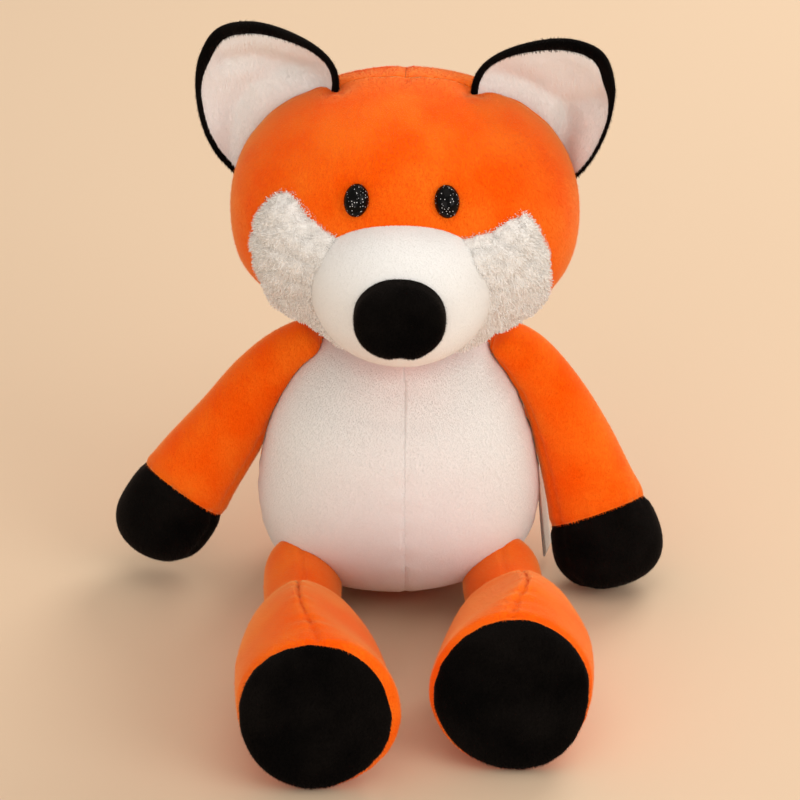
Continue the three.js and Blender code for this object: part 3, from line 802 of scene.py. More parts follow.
def turn_about(pivot, axis, degrees):
    there = Matrix.Translation(Vector(pivot))
    return there @ Matrix.Rotation(math.radians(degrees), 4, Vector(axis)) @ there.inverted()


# %% Dress a panel
FILLING_MM = 1.2  # from the cloth's inner side to the filling
BARE_MARGIN_MM = 1.5  # how deep cloth lies under a neighbour where its pile is left out


def stand_in(piece, node, ride):
    """The piece is a stuffed one that stands for its CAD node and moves as the ride says."""
    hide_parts(node)
    ride(piece)


def dress(node, mesh, tone, ride):
    """Turns a panel into a piece with a fabric wall."""
    stand_in(walled(node + "_cloth", mesh.copy(), CLOTH[tone]), node, ride)


def stuff(node, mesh, ride):
    """The filling under the cloth: a closed copy of the form, set in from it."""
    filling = mesh.copy()
    press(filling, lambda points: np.full(len(points), -(FABRIC_MM + FILLING_MM)))
    stand_in(add_piece(node + "_fibre", filling, FIBRE), node, ride)


def grow(name, meshes, tone, ride, length, per_mm2, under=(), margin=BARE_MARGIN_MM, width=0.32,
         lean=2.0, unruly=0.5, nap=(0.1, -0.5, -1), blade=BLADE, sink=0.1, seed=1):
    """Pile on one or more panels, except under some neighbours. It moves with the cloth. Sizes are
    in mm."""
    if under:
        meshes = [bare_of(mesh, under, margin) for mesh in meshes]
    piece = put(name, reshaped(name + "_cloth", meshes))
    growth = piece.modifiers.new("grow", "NODES")
    growth.node_group = PILE
    sockets = {s.name: s.identifier for s in PILE.interface.items_tree if s.in_out == "INPUT"}
    given = {
        "Blade": blade, "Blades per Area": per_mm2 / MM**2, "Length": length * MM,
        "Width": width * MM, "Lean": lean, "Unruly": unruly, "Nap": nap, "Sink": -sink * MM,
        "Seed": seed, "Finish": BLADES[tone],
    }
    for socket, value in given.items():
        growth[sockets[socket]] = value
    piece.data = settled(piece)
    piece.data.name = name
    for spent in [a.name for a in piece.data.attributes if a.name in ("UVMap", "hair_width")]:
        piece.data.attributes.remove(piece.data.attributes[spent])
    print(name, "has", len(piece.data.polygons), "faces of pile")
    ride(piece)


def riding(body):
    return lambda piece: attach(piece, body)


def bending(first, second, start, end):
    """The piece follows one body before start and the other after end, both in mm."""
    start, end = (tuple(v * MM for v in place) for place in (start, end))
    return lambda piece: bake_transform(piece, first, second, start=start, end=end)


# %% [markdown]
# ## Torso
#
# The torso is a pear that leans back a little. Two white panels make the belly and meet in a seam
# down the middle, two orange ones make the back, and a round seat panel closes the bottom.

# %% Torso form
TORSO = {
    "stations": [
        ((-1, 9, -0.5), (56, 34)), ((-3, 4, 30), (68.5, 55)), ((-3, -3, 60), (71, 64)),
        ((-2.5, -5, 90), (66, 61)), ((-1, -3, 115), (56, 51)), ((0, -2, 133), (43, 39)),
        ((0, -2, 146), (31, 28)),
    ],
    "caps": (40, 12), "fullness": (2.4, 2.2),
}
ACROSS, BEHIND, UP = np.eye(3)
SIDE_SEAM_Y = 2
SEAT_RADIUS, SEAT_CENTRE_Y, SEAT_EDGE_Z = 34, 4, 16
FAR = 1e3  # a distance that no seam reaches


def to_seat_seam(points):
    ring = np.abs(np.hypot(points[:, 0], points[:, 1] - SEAT_CENTRE_Y) - SEAT_RADIUS)
    return np.where(points[:, 2] < SEAT_EDGE_Z, ring, FAR)


to_middle, to_side_seam = to_plane((0, 0, 0), ACROSS), to_plane((0, SIDE_SEAM_Y, 0), BEHIND)
torso = form_mesh("torso_form", TORSO, sides=144, rings=(24, 60, 12))
press(
    torso,
    valley(to_middle, depth=0.4, width=1.2),
    valley(to_side_seam, depth=1.3, width=3.0),
    valley(to_seat_seam, depth=1.0, width=2.5),
    gathers(to_side_seam, UP, depth=0.35, reach=9, spacing=11, seed=1),
    gathers(to_middle, UP, depth=0.18, reach=8, spacing=14, seed=2),
    softness(depth=0.5, size=95, seed=3),
)
above_floor(torso)
torso_tree = surface_tree(torso)
print("torso form has", len(torso.polygons), "faces")

# %% Torso panels
FRONT, BACK = (((0, SIDE_SEAM_Y, 0), (0, y, 0)) for y in (-1, 1))
HALVES = {side: ((0, 0, 0), (x, 0, 0)) for side, x in SIDES_X.items()}


def split_by_ring(name, inner):
    """The part of the torso inside or outside the round seat panel's seam, its edge drawn round."""
    def on_this_side(face):
        x, y, z = face.calc_center_median() / MM
        return inner == (math.hypot(x, y - SEAT_CENTRE_Y) < SEAT_RADIUS and z < SEAT_EDGE_Z)

    def round_off(shape):
        for corner in [v for v in shape.verts if v.is_boundary and v.co.z < SEAT_EDGE_Z * MM]:
            away = Vector((corner.co.x, corner.co.y - SEAT_CENTRE_Y * MM)).normalized()
            corner.co.xy = away * SEAT_RADIUS * MM + Vector((0, SEAT_CENTRE_Y * MM))

    return reshaped(name, [only(name + "_cut", torso, "faces", on_this_side)], round_off)


walls, seat = split_by_ring("torso_walls", inner=False), split_by_ring("seat_panel", inner=True)
belly = {s: cut_panel("belly_" + s, walls, [FRONT, HALVES[s]]) for s in SIDES_X}
rear = {s: cut_panel("back_" + s, walls, [BACK, HALVES[s]]) for s in SIDES_X}
print("torso panels have", [len(m.polygons) for m in (*belly.values(), *rear.values())], "faces")

# %% [markdown]
# ## Head
#
# The head is one big flattened ball: an orange face panel in front of the crown seam and two panels
# behind it. The cloth dips at the eyes, where the washers pull it in, and puckers where the ears
# end. The neck's middle is the point that the head nods and turns on.

# %% Head form
NECK = (0, -2, 125)
HEAD_YAW = -1.5
HEAD_CENTRE = (0, -8, 89.5)
HEAD_HALF = (85, 68, 67.5)
HEAD_FULLNESS = 2.2
HEAD = egg_form(HEAD_CENTRE, HEAD_HALF, HEAD_FULLNESS)
CROWN_SEAM_Y = 2
EYE_X, EYE_Z = 21.5, 124
EAR_INNER, EAR_OUTER = (34, 2, 152), (84.5, 2, 100)
HEAD_TURN = Matrix.Translation(NECK) @ Matrix.Rotation(math.radians(HEAD_YAW), 4, "Z")
UP_IN_VIEW = np.array((0, 0.5, 0.866))  # upwards across the line of sight
JAW_SLACK = {"right": 7.0, "left": 3.0}
JAW_SIDE, JAW_HEIGHT = (26, 50), (8, 50)  # where the slack sets in, sideways and up in the view


def onto_neck(mesh):
    """Moves a mesh made round the neck's middle to its place on the toy."""
    set_points(mesh, [HEAD_TURN @ Vector(p) for p in points_of(mesh)])


def mirrored(point, side):
    """A place given for the toy's left side, on either side."""
    return Vector((point[0] * SIDES_X[side], point[1], point[2]))


def head_front(x, z):
    """The head's front at a side and height: the point and the direction it faces."""
    rise = abs((z - HEAD_CENTRE[2]) / HEAD_HALF[2])
    girth = (1 - rise**HEAD_FULLNESS) ** (1 / HEAD_FULLNESS)
    side = (x - HEAD_CENTRE[0]) / HEAD_HALF[0]
    front = -math.sqrt(girth**2 - side**2)
    slope = girth ** (2 - HEAD_FULLNESS)
    slope *= math.copysign(rise ** (HEAD_FULLNESS - 1), z - HEAD_CENTRE[2])
    normal = Vector((side / HEAD_HALF[0], front / HEAD_HALF[1], slope / HEAD_HALF[2]))
    return Vector((x, HEAD_CENTRE[1] + front * HEAD_HALF[1], z)), normal.normalized()


def to_back_seam(points):
    return np.where(points[:, 1] > CROWN_SEAM_Y, np.abs(points[:, 0]), FAR)


def jaw_tuck(points):
    """The jaw's sides are slack below the cheeks, and more so on the right."""
    sides = JAW_SLACK.items()
    slack = sum(depth * ease(points[:, 0] * SIDES_X[side], *JAW_SIDE) for side, depth in sides)
    return -slack * (1 - ease(points @ UP_IN_VIEW, *JAW_HEIGHT))


to_crown_seam = to_plane((0, CROWN_SEAM_Y, 0), BEHIND)
head_dips = []
for x in SIDES_X.values():
    head_dips.append(dimple(head_front(EYE_X * x, EYE_Z)[0], depth=1.4, width=9))
    ear_end = (EAR_INNER[0] * x, -4, EAR_INNER[2] - 1)
    head_dips.append(dimple(ear_end, depth=3.0, width=8, folds=4, fold_depth=0.7))
head_dips.append(dimple((2, -1, 157), depth=0.8, width=5, folds=5, fold_depth=0.25))

head = form_mesh("head_form", HEAD, sides=168, rings=(44, 0, 44))
press(
    head,
    jaw_tuck,
    valley(to_crown_seam, depth=0.25, width=1.8),
    valley(to_back_seam, depth=0.7, width=2.2),
    gathers(to_crown_seam, ACROSS, depth=0.12, reach=8, spacing=12, seed=4),
    softness(depth=0.45, size=110, seed=5),
    *head_dips,
)

# %% Muzzle and nose forms
MUZZLE = egg_form((0, -60, 78), (44, 47, 37), 2.3)
MUZZLE_BACK_Y = -36  # the muzzle panel ends here, inside the head
NOSE = {
    "stations": [((0, y, 81), (21.5, 19.5)) for y in (-88, -102, -116)],
    "caps": (4, 10), "fullness": (2, 2.4), "squareness": 2.2,
}
muzzle = form_mesh("muzzle_form", MUZZLE, sides=120, rings=(36, 0, 36))
press(
    muzzle,
    softness(depth=0.4, size=60, seed=6),
    dimple((0, -104, 56), depth=1.6, width=10),
    dimple((36, -78, 92), depth=0.8, width=12),
)
nose = form_mesh("nose_form", NOSE, sides=72, rings=(3, 6, 18))
press(nose, dimple((0, -109, 61.5), depth=2.2, width=3.6), softness(depth=0.25, size=26, seed=7))
for mesh in (head, muzzle, nose):
    onto_neck(mesh)
head_tree, muzzle_tree, nose_tree = (surface_tree(mesh) for mesh in (head, muzzle, nose))
print("head, muzzle and nose have", [len(m.polygons) for m in (head, muzzle, nose)], "faces")


# %% Head panels
def on_head_plane(point, normal):
    """A seam plane drawn round the neck's middle, in its place on the toy."""
    return HEAD_TURN @ Vector(point), HEAD_TURN.to_3x3() @ Vector(normal)


CROWN_FRONT = on_head_plane((0, CROWN_SEAM_Y, 0), (0, -1, 0))
CROWN_BACK = (CROWN_FRONT[0], -CROWN_FRONT[1])
face_panel = cut_panel("face_panel", head, [CROWN_FRONT])
head_backs = {
    side: cut_panel("head_back_" + side, head, [CROWN_BACK, on_head_plane((0, 0, 0), (x, 0, 0))])
    for side, x in SIDES_X.items()
}
muzzle_panel = cut_panel("muzzle", muzzle, [on_head_plane((0, MUZZLE_BACK_Y, 0), (0, -1, 0))])

# %% [markdown]
# ## Cheeks
#
# The cheeks are patches of long curly pile that reach from the eyes down under the jaw. A patch is
# the head's own surface, swollen within an outline and lumpy where the curls clump together. The
# outline is drawn as it looks from the front and 30 degrees above, and everywhere else the surface
# sinks under the face.

# %% Cheek outline and swelling
UNDER_JAW = [(66, 21), (52, 6), (34, -6), (16, -4), (18, 30)]
CHEEK_EDGE = {  # sideways, and up across the line of sight, in mm from the neck
    "right": [
        (24, 56), (30, 58), (36, 61.5), (41, 66), (44.5, 71), (48, 76), (52.5, 79.5), (58, 80),
        (64.5, 76.5), (70, 70), (73.5, 62), (74, 54), (73, 45), (69, 34), *UNDER_JAW,
    ],
    "left": [
        (24, 56), (34, 60), (41, 63), (48, 67), (53.5, 70), (58, 73.5), (62.5, 68.5), (67, 61.5),
        (70.5, 53.5), (72.5, 45), (72, 34), *UNDER_JAW,
    ],
}
CHEEK_PROUD, CHEEK_SUNK = 7.0, 2.5  # over the head inside the outline, under it outside
CHEEK_SOFT_EDGE = 17  # from the outline, over this distance the patch rises to its full height
CHEEK_ROUND, LUMPS_RISE = 2.2, 3  # how full that rise is, and how much sooner the lumps rise
CHEEK_LOW, CHEEK_HEIGHTS = 0.2, (10, 48)  # the share that is proud under the jaw, and up to where
TURNED_AWAY, TURNING, FADED = 0.45, 0.4, 0.02  # where the head faces away, the patch fades out
CHEEK_INNER_X = 5  # all of a cheek lies farther than this from the head's middle
EDGE_STEPS = 8  # from one corner of the outline to the next
OUTSIDE_MM, KEPT_MM = -50.0, 1.5  # a depth for what is far outside, and what is kept of the rest
CLUMP_SPACING, CLUMP_HEIGHT = 7.0, 1.5
CLUMP_RADIUS, CLUMP_STRAY = 0.62, 0.45  # as shares of the spacing
WOOL_MM = 4.6


def gap_to_runs(points, starts, ends):
    """How far each point of a plane lies from the nearest of some straight runs."""
    run = ends - starts
    away = points[:, None] - starts[None]
    share = np.clip((away * run).sum(-1) / (run**2).sum(-1), 0, 1)
    return np.linalg.norm(away - share[..., None] * run, axis=-1).min(axis=1)


def depth_inside(points, edge):
    """How deep each point of a plane lies inside a closed outline. Outside it is negative."""
    a, b = edge, np.roll(edge, -1, axis=0)
    run = b - a
    gap = gap_to_runs(points, a, b)
    x, y = points[:, :1], points[:, 1:]
    rises = (a[:, 1] > y) != (b[:, 1] > y)
    reach = a[:, 0] + run[:, 0] * (y - a[:, 1]) / np.where(run[:, 1] == 0, 1e-9, run[:, 1])
    inside = (rises & (x < reach)).sum(axis=1) % 2 == 1
    return np.where(inside, gap, -gap)


def clumps(points, seed):
    """Rounded lumps, one round each of many scattered places."""
    random = np.random.default_rng(seed)
    spans = zip(points.min(axis=0), points.max(axis=0))
    ticks = [np.arange(low, high + CLUMP_SPACING, CLUMP_SPACING) for low, high in spans]
    places = np.stack(np.meshgrid(*ticks), -1).reshape(-1, 3)
    places = places + random.uniform(-CLUMP_STRAY, CLUMP_STRAY, places.shape) * CLUMP_SPACING
    tree = KDTree(len(places))
    for i, place in enumerate(places):
        tree.insert(place, i)
    tree.balance()
    gap = np.array([tree.find(p)[2] for p in points])
    return CLUMP_HEIGHT * (1 - (gap / (CLUMP_RADIUS * CLUMP_SPACING)) ** 2)


def cheek_patch(side):
    """The closed swollen surface of a cheek, and the faces that are seen."""
    mesh = form_mesh("cheek_form", HEAD, sides=320, rings=(88, 0, 88))
    press(mesh, jaw_tuck)
    points, normals = points_of(mesh), normals_of(mesh)
    corners = [(x * SIDES_X[side], v, 0) for x, v in CHEEK_EDGE[side]]
    steps = np.linspace(0, 1, EDGE_STEPS * len(corners) + 1)[:-1]
    edge = spline(corners, steps, closed=True)[:, :2]
    seen = np.column_stack([points[:, 0], points @ UP_IN_VIEW])
    towards = normals @ SIGHT
    near = (towards > -TURNED_AWAY) & (points[:, 0] * SIDES_X[side] > CHEEK_INNER_X)
    depth = np.full(len(points), OUTSIDE_MM)
    depth[near] = depth_inside(seen[near], edge)
    facing = np.clip((towards + TURNED_AWAY) / TURNING, 0, 1)
    rise = np.clip(depth / CHEEK_SOFT_EDGE, 0, 1)
    rise = (1 - (1 - rise) ** CHEEK_ROUND) * facing
    lumps = np.zeros(len(points))
    inner = depth > -2 * KEPT_MM
    lumps[inner] = clumps(points[inner], seed=21)
    proud = CHEEK_PROUD * (CHEEK_LOW + (1 - CHEEK_LOW) * ease(seen[:, 1], *CHEEK_HEIGHTS))
    lift = -CHEEK_SUNK + (proud + CHEEK_SUNK) * rise + lumps * np.clip(rise * LUMPS_RISE, 0, 1)
    set_points(mesh, points + normals * lift[:, None])
    onto_neck(mesh)
    shown = (depth > -KEPT_MM) & (facing > FADED)
    panel = only("cheek_" + side, mesh, "verts", lambda v: shown[v.index])
    panel.shade_smooth()
    return mesh, panel


cheeks = {side: cheek_patch(side) for side in SIDES_X}
cheek_trees = [surface_tree(mesh) for mesh, _ in cheeks.values()]
print("cheek patches have", [len(panel.polygons) for _, panel in cheeks.values()], "faces")

# %% [markdown]
# ## Ears
#
# Each ear is two layers: a white lining that faces forward in a shallow cup, and a black back that
# rolls over its edge as a rim, wide along the top and thin down the outer side. The shape is drawn
# in a plane across the head: u runs down the crown seam from the ear's inner end, and v stands away
# from it.

# %% Ear outline
EAR_OUTLINE = [
    (66, -14), (69, 6), (64, 25), (50, 45), (32, 59), (14, 63.5), (1, 55), (-8, 37), (-11, 18),
    (-6, 3), (10, -8),
]
EAR_MIDDLE = np.array((33, 14))
EAR_HALF = 1.8  # half the ear's thickness
EAR_RIM_INNER, EAR_RIM_TOP, EAR_RIM_OUTER = 3.9, 6.9, {"right": 2.7, "left": 1.8}
TOP_FROM_TO, OUTER_FROM_TO = (20, 60), (25, 52)  # where the rim's width changes, along v and u
EAR_RIM_PROUD, EAR_ROLL = 1.1, 1.6  # how far the rim stands over the lining, and how it rounds
EAR_CUP = 11
EAR_HOLLOW = 4.5  # how much deeper the cup's middle is than the CAD sheet's
HOLLOW_NARROW = 1.6  # above 1, so that this hollow ends before the ear's edge
EAR_CREASE = [(-2, 12), (10, 20), (31, 28), (45, 25), (59, 15), (71, 2)]  # the deepest line
EAR_TUCK = {
    "right": [(5, 7), (11, 25), (17, 38), (26, 46)],
    "left": [(60, 6), (45, 20), (37, 31), (38, 45)],
}
CREASE_BROAD, CREASE_SHARP, TUCK = (3.0, 9), (1.0, 3.5), (4.6, 6.5)  # depth and width
EAR_LEAN = {"right": 0, "left": 10}
EAR_RAYS = 96
OUTLINE_STEPS = 1800
HIDDEN_RINGS = 9  # on the inner side of each layer, fine enough to follow the folds
HIDDEN_BACK, HIDDEN_LINING = -0.5, 0.4  # how deep those sides lie
# Where the rings of a hidden and of a shown side lie, as shares of the way to its edge.
HIDDEN_OUT, HIDDEN_IN = (np.linspace(*ends, HIDDEN_RINGS) for ends in ((0.1, 0.9), (0.9, 0.1)))
BACK_SHARES, LINING_SHARES = np.linspace(0.08, 0.92, 13), np.linspace(0.95, 0.05, 19)
RIM_STEPS = 8  # round the roll
LIP_FALL = (0.2, 0.9)  # how much lower the rim is halfway in, and at its inner edge
LIP_FOOT = (0.3, -0.3)  # how far in from that edge the rim ends, and at what depth
LINING_TUCK = 0.6  # how far the lining runs in under the rim
LINING_EDGE = ((0, 0.8), (0, EAR_HALF - 0.9), (0.8, EAR_HALF + 0.1))  # steps in, and depths


def to_path(points, path):
    """How far each point of a plane lies from a row of straight runs."""
    return gap_to_runs(points, np.array(path[:-1], float), np.array(path[1:], float))


def ear_folds(places, side):
    """The crease that runs round the head in both ears, and the short tuck that differs."""
    crease, tuck = to_path(places, EAR_CREASE), to_path(places, EAR_TUCK[side])
    folds = ((crease, *CREASE_BROAD), (crease, *CREASE_SHARP), (tuck, *TUCK))
    return -sum(depth * bump(distance, width) for distance, depth, width in folds)


def ear_edge():
    """Outline points at even steps, how far each is from the middle, and the rim's width there."""
    outline = [(u, v, 0) for u, v in EAR_OUTLINE]
    fine = spline(outline, np.linspace(0, 1, OUTLINE_STEPS + 1), closed=True)[:, :2]
    run = run_lengths(fine)
    steps = np.linspace(0, run[-1], EAR_RAYS, endpoint=False)
    edge = np.stack([np.interp(steps, run, fine[:, k]) for k in (0, 1)], axis=1)
    reach = np.linalg.norm(edge - EAR_MIDDLE, axis=1)
    rim = EAR_RIM_INNER + (EAR_RIM_TOP - EAR_RIM_INNER) * ease(edge[:, 1], *TOP_FROM_TO)
    outer = ease(edge[:, 0], *OUTER_FROM_TO)
    return edge, reach, {side: rim + (width - rim) * outer for side, width in EAR_RIM_OUTER.items()}


EDGE, REACH, RIM = ear_edge()
FARTHEST = max(math.hypot(u - EAR_MIDDLE[0], v - EAR_MIDDLE[1]) for u, v in EAR_OUTLINE)


def place_ear(points, side):
    """Stands ear points on the crown seam of one side."""
    inner, outer = (mirrored(end, side) for end in (EAR_INNER, EAR_OUTER))
    along = (outer - inner).normalized()
    forwards = Vector((0, -1, 0))
    upwards = forwards.cross(along) * SIDES_X[side]
    basis = Matrix((along, upwards, forwards)).transposed().to_4x4()
    lean = Matrix.Rotation(-math.radians(EAR_LEAN[side]), 4, "Z")
    place = HEAD_TURN @ Matrix.Translation(inner) @ basis @ lean
    return [place @ Vector(p) for p in points]


def ear_mesh(name, profile, side):
    """A closed layer from a row of rings. profile gives each ring's distances from the middle and
    its depth. The first and last are poles."""
    rows = []
    for distance, depth in profile:
        distance = np.broadcast_to(distance, EAR_RAYS)
        place = EAR_MIDDLE + (EDGE - EAR_MIDDLE) * (distance / REACH)[:, None]
        share = distance / FARTHEST
        dish = EAR_CUP * share**2 - EAR_HOLLOW * np.clip(1 - share**2 * HOLLOW_NARROW, 0, 1)
        rows.append(np.column_stack([place, depth + dish + ear_folds(place, side)]))
    points = place_ear(np.vstack([rows[0][:1], *rows[1:-1], rows[-1][:1]]), side)
    count = len(rows) - 2
    faces = form_faces(count, EAR_RAYS, np.linspace(0, 1, count + 2))
    layer = new_mesh(name + "_rings", points, *faces)
    return reshaped(name, [layer], lambda s: bmesh.ops.recalc_face_normals(s, faces=s.faces))


def ear_back_profile(side):
    """From the middle of the back, out and round the rim, and in again under the lining."""
    front = EAR_HALF + EAR_RIM_PROUD
    rows = [(0.0, -EAR_HALF)]
    rows += [(REACH * s, -EAR_HALF) for s in BACK_SHARES]
    round_mm = (EAR_HALF + front) / 2
    for step in range(RIM_STEPS + 1):
        turn = math.pi * (step / RIM_STEPS - 0.5)
        depth = (front - EAR_HALF) / 2 + round_mm * math.sin(turn)
        rows.append((REACH - EAR_ROLL * (1 - math.cos(turn)), depth))
    rows.append((REACH - EAR_ROLL - 0.5 * (RIM[side] - EAR_ROLL), front - LIP_FALL[0]))
    rows.append((REACH - RIM[side], front - LIP_FALL[1]))
    hidden = REACH - RIM[side] - LIP_FOOT[0]
    rows.append((hidden, LIP_FOOT[1]))
    rows += [(hidden * s, HIDDEN_BACK) for s in HIDDEN_IN]
    return rows + [(0.0, HIDDEN_BACK)]


def ear_lining_profile(side):
    """From the middle of the hidden side, out under the rim, and back over the front."""
    inner = REACH - RIM[side] + LINING_TUCK
    rows = [(0.0, HIDDEN_LINING)]
    rows += [(inner * s, HIDDEN_LINING) for s in HIDDEN_OUT]
    rows += [(inner - step, depth) for step, depth in LINING_EDGE]
    rows += [(inner * s, EAR_HALF) for s in LINING_SHARES]
    return rows + [(0.0, EAR_HALF)]


def rings_of(mesh, first, last):
    """A copy of an ear layer with only some of its rings, to grow pile on."""
    kept = range(1 + first * EAR_RAYS, 1 + last * EAR_RAYS)
    return only(mesh.name + "_shown", mesh, "verts", lambda v: v.index in kept)


# %% Ear layers, and the rings of each that show
ears = {}
for side in SIDES_X:
    back_rows, lining_rows = ear_back_profile(side), ear_lining_profile(side)
    back = ear_mesh("ear_back", back_rows, side)
    lining = ear_mesh("ear_lining", lining_rows, side)
    press(lining, softness(depth=0.5, size=26, seed=12))
    ears[side] = {
        "back": (back, rings_of(back, 0, len(back_rows) - HIDDEN_RINGS - 3)),
        "lining": (lining, rings_of(lining, HIDDEN_RINGS + 2, len(lining_rows))),
    }
print("an ear's layers have", [len(whole.polygons) for whole, _ in ears["left"].values()], "faces")

# %% [markdown]
# ## Arms
#
# Each arm is a tapering sleeve with a black paw sewn to its end. The right arm hangs clear of the
# floor, and the left one touches it with its paw.

# %% Arm forms
SHOULDER = (50, -2, 124)
SHOULDER_SLOPE = math.radians(36)
ARM_CLEAR_MM = 0.3  # from the arm to the torso, as it swings
ARMS = {  # the paw's seam passes a point, and the sleeve's runs at a share of the way round
    "right": {
        "stations": [
            ((-43, -3, 141), (10, 10)), ((-57, -2, 131), (11.5, 12)), ((-71, -1, 113), (14, 15)),
            ((-88, 0, 86), (17, 19.5)), ((-104, 0, 62), (19, 22.5)), ((-119, 0, 38), (20.5, 25.5)),
            ((-132, 0, 14), (20, 24)),
        ],
        "paw": (-113, 0, 50), "seam": 0.36, "swing": (-15, 0, 15, 30, 50, 80),
    },
    "left": {
        "stations": [
            ((45, -3, 141), (10, 10)), ((58, -2, 130), (11.5, 13)), ((73, -2, 107), (14, 15.5)),
            ((85, -4, 79), (17, 19.5)), ((94, -8, 53), (19.5, 23.5)), ((102, -12, 28), (21, 27.5)),
            ((107, -16, 4), (21, 28)),
        ],
        "paw": (97, -11, 43), "seam": 0.64, "swing": (-15, 0, 12, 25),
    },
}
ARM_FORM = {"across": (0, 1, 0), "caps": (6, 24), "fullness": (2, 2.5)}
ARM_SIDES, ARM_RINGS, ARM_GIRTH = 72, (6, 44, 20), 110
PAW_SEAM_SHARE = 0.75
SEAM_TILT = 0.8  # 1 would show the paw's seam as a straight line from the camera


def direction_at(stations, share):
    """The direction of a form's middle line at a share of its length."""
    _, path, run = fine_line(stations)
    i = int(np.searchsorted(run, share * run[-1]))
    return Vector(path[i + 1] - path[i - 1]).normalized()


def to_line_of(sides, share, girth):
    """How far each point of a form lies from a seam that runs along it, measured round the form."""
    def distance(points):
        place = np.zeros(len(points))
        place[1:-1] = ((np.arange(len(points) - 2) % sides) / sides - share + 0.5) % 1 - 0.5
        return np.abs(place) * girth

    return distance


def halved(mesh, point, normal, names):
    """Both sides of a seam plane as panels: first the one that its normal points away from."""
    return [cut_panel(name, mesh, [(point, normal * sign)]) for name, sign in zip(names, (-1, 1))]


arms = {}
for side, arm in ARMS.items():
    mesh = form_mesh("arm_" + side, {**ARM_FORM, "stations": arm["stations"]}, ARM_SIDES, ARM_RINGS)
    out = direction_at(arm["stations"], PAW_SEAM_SHARE)
    out = (out - SEAM_TILT * out.dot(LINE_OF_SIGHT) * LINE_OF_SIGHT).normalized()
    to_paw_seam, to_seam = to_plane(arm["paw"], out), to_line_of(ARM_SIDES, arm["seam"], ARM_GIRTH)
    press(
        mesh,
        valley(to_paw_seam, depth=1.5, width=2.6),
        gathers(to_paw_seam, (1, 0.7, 0), depth=0.35, reach=7, spacing=8, seed=13),
        valley(to_seam, depth=0.9, width=1.6),
        gathers(to_seam, UP, depth=0.2, reach=6, spacing=9, seed=15),
        softness(depth=0.7, size=60, seed=14 + SIDES_X[side]),
    )
    pivot = mirrored(SHOULDER, side)
    axis = Vector((-math.cos(SHOULDER_SLOPE), 0, -SIDES_X[side] * math.sin(SHOULDER_SLOPE)))
    swings = [turn_about(pivot, axis, angle) for angle in arm["swing"]]
    push_out(mesh, torso_tree, ARM_CLEAR_MM, swings)
    above_floor(mesh)
    sleeve, paw = halved(mesh, arm["paw"], out, ("arm_" + side, "paw_" + side))
    arms[side] = {"form": mesh, "sleeve": sleeve, "paw": paw}
    print(side, "sleeve and paw have", len(sleeve.polygons), "and", len(paw.polygons), "faces")

# %% [markdown]
# ## Legs and feet
#
# The legs are short tubes that lie on the floor, and the feet stand up at their ends with the black
# soles facing forward. A foot's upper is two halves sewn together over the instep, and that seam
# pulls it up into a soft peak.

# %% Leg and foot forms
LEGS = {  # the peak stands to a side, the instep drops, and the sole leans back, each in mm
    "right": {
        "hip_x": -51, "ankle_x": -48, "sole_x": -40, "sole_y": -204, "peak": -5.5, "drop": 0,
        "lean": 6,
    },
    "left": {
        "hip_x": 48.5, "ankle_x": 52.5, "sole_x": 50.5, "sole_y": -188, "peak": 7, "drop": 6,
        "lean": 11,
    },
}
THIGH_RADIUS, ANKLE_RADIUS = 21.5, 20
HIP_Y = -40
LEG_Z = THIGH_RADIUS - 0.5
THIGH, KNEE, ANKLE = (THIGH_RADIUS - 2, THIGH_RADIUS), (19, 21), (ANKLE_RADIUS - 1, ANKLE_RADIUS)
ANKLE_RISE = 1
ANKLE_SETBACK, ANKLE_SEAM = 86, 98  # behind the sole: where the foot turns, and where it is sewn on
FOOT_STATIONS = [  # behind the sole, height, half width and half height
    (98, 29.5, (24, 27.5)), (76, 34.5, (31, 35)), (50, 38.5, (37, 39)), (25, 39.5, (38.5, 39.5)),
    (0, 40, (39, 40.5)),
]
INSTEP_PINCH, INSTEP_SHARP = 0.42, 2.2  # how far the upper half is drawn in, and how suddenly
INSTEP_LOW, INSTEP_RISE = 34, 42  # from this height on, and over this much of it
INSTEP_SPAN, INSTEP_END, INSTEP_FADE = (6, 60), 112, 30  # behind the sole, in mm
RIDGE_HEIGHT, RIDGE_WIDTH = 2.0, 8
DROP_SPAN, LEAN_SPAN = (45, 90), (5, 60)
SOLE_DEPTH = 9
SEAM_END = 1  # the upper's seam ends this far from the sole's
SOLE_HEIGHT = 80  # each sole leans back by its own "lean" over this height
LEG_SIDES, LEG_RINGS, LEG_GIRTH = 72, (16, 30, 14), 120
FOOT_SIDES, FOOT_RINGS, FOOT_GIRTH = 96, (18, 26, 20), 220
TOP_SHARE = 0.25  # the top of a form, as a share of the way round it


def leg_form(leg):
    hip_x, ankle_x, ankle_y = leg["hip_x"], leg["ankle_x"], leg["sole_y"] + ANKLE_SETBACK
    middle = ((hip_x + ankle_x) / 2, (HIP_Y + ankle_y) / 2, LEG_Z)
    return {
        "stations": [
            ((hip_x, HIP_Y + THIGH_RADIUS, LEG_Z), THIGH), ((hip_x, HIP_Y, LEG_Z), THIGH),
            (middle, KNEE), ((ankle_x, ankle_y, LEG_Z + ANKLE_RISE), ANKLE),
            ((ankle_x, ankle_y - ANKLE_RADIUS, LEG_Z + 2 * ANKLE_RISE), ANKLE),
        ],
        "caps": (THIGH_RADIUS, ANKLE_RADIUS), "fullness": (2, 2),
    }


def foot_x(leg, behind):
    """The foot's middle, at a distance behind the sole."""
    return leg["sole_x"] + (leg["ankle_x"] - leg["sole_x"]) * behind / ANKLE_SETBACK


def foot_form(leg):
    return {
        "stations": [
            ((foot_x(leg, behind), leg["sole_y"] + behind, z), half)
            for behind, z, half in FOOT_STATIONS
        ],
        "caps": (16, 13), "fullness": (2, 2.6),
    }


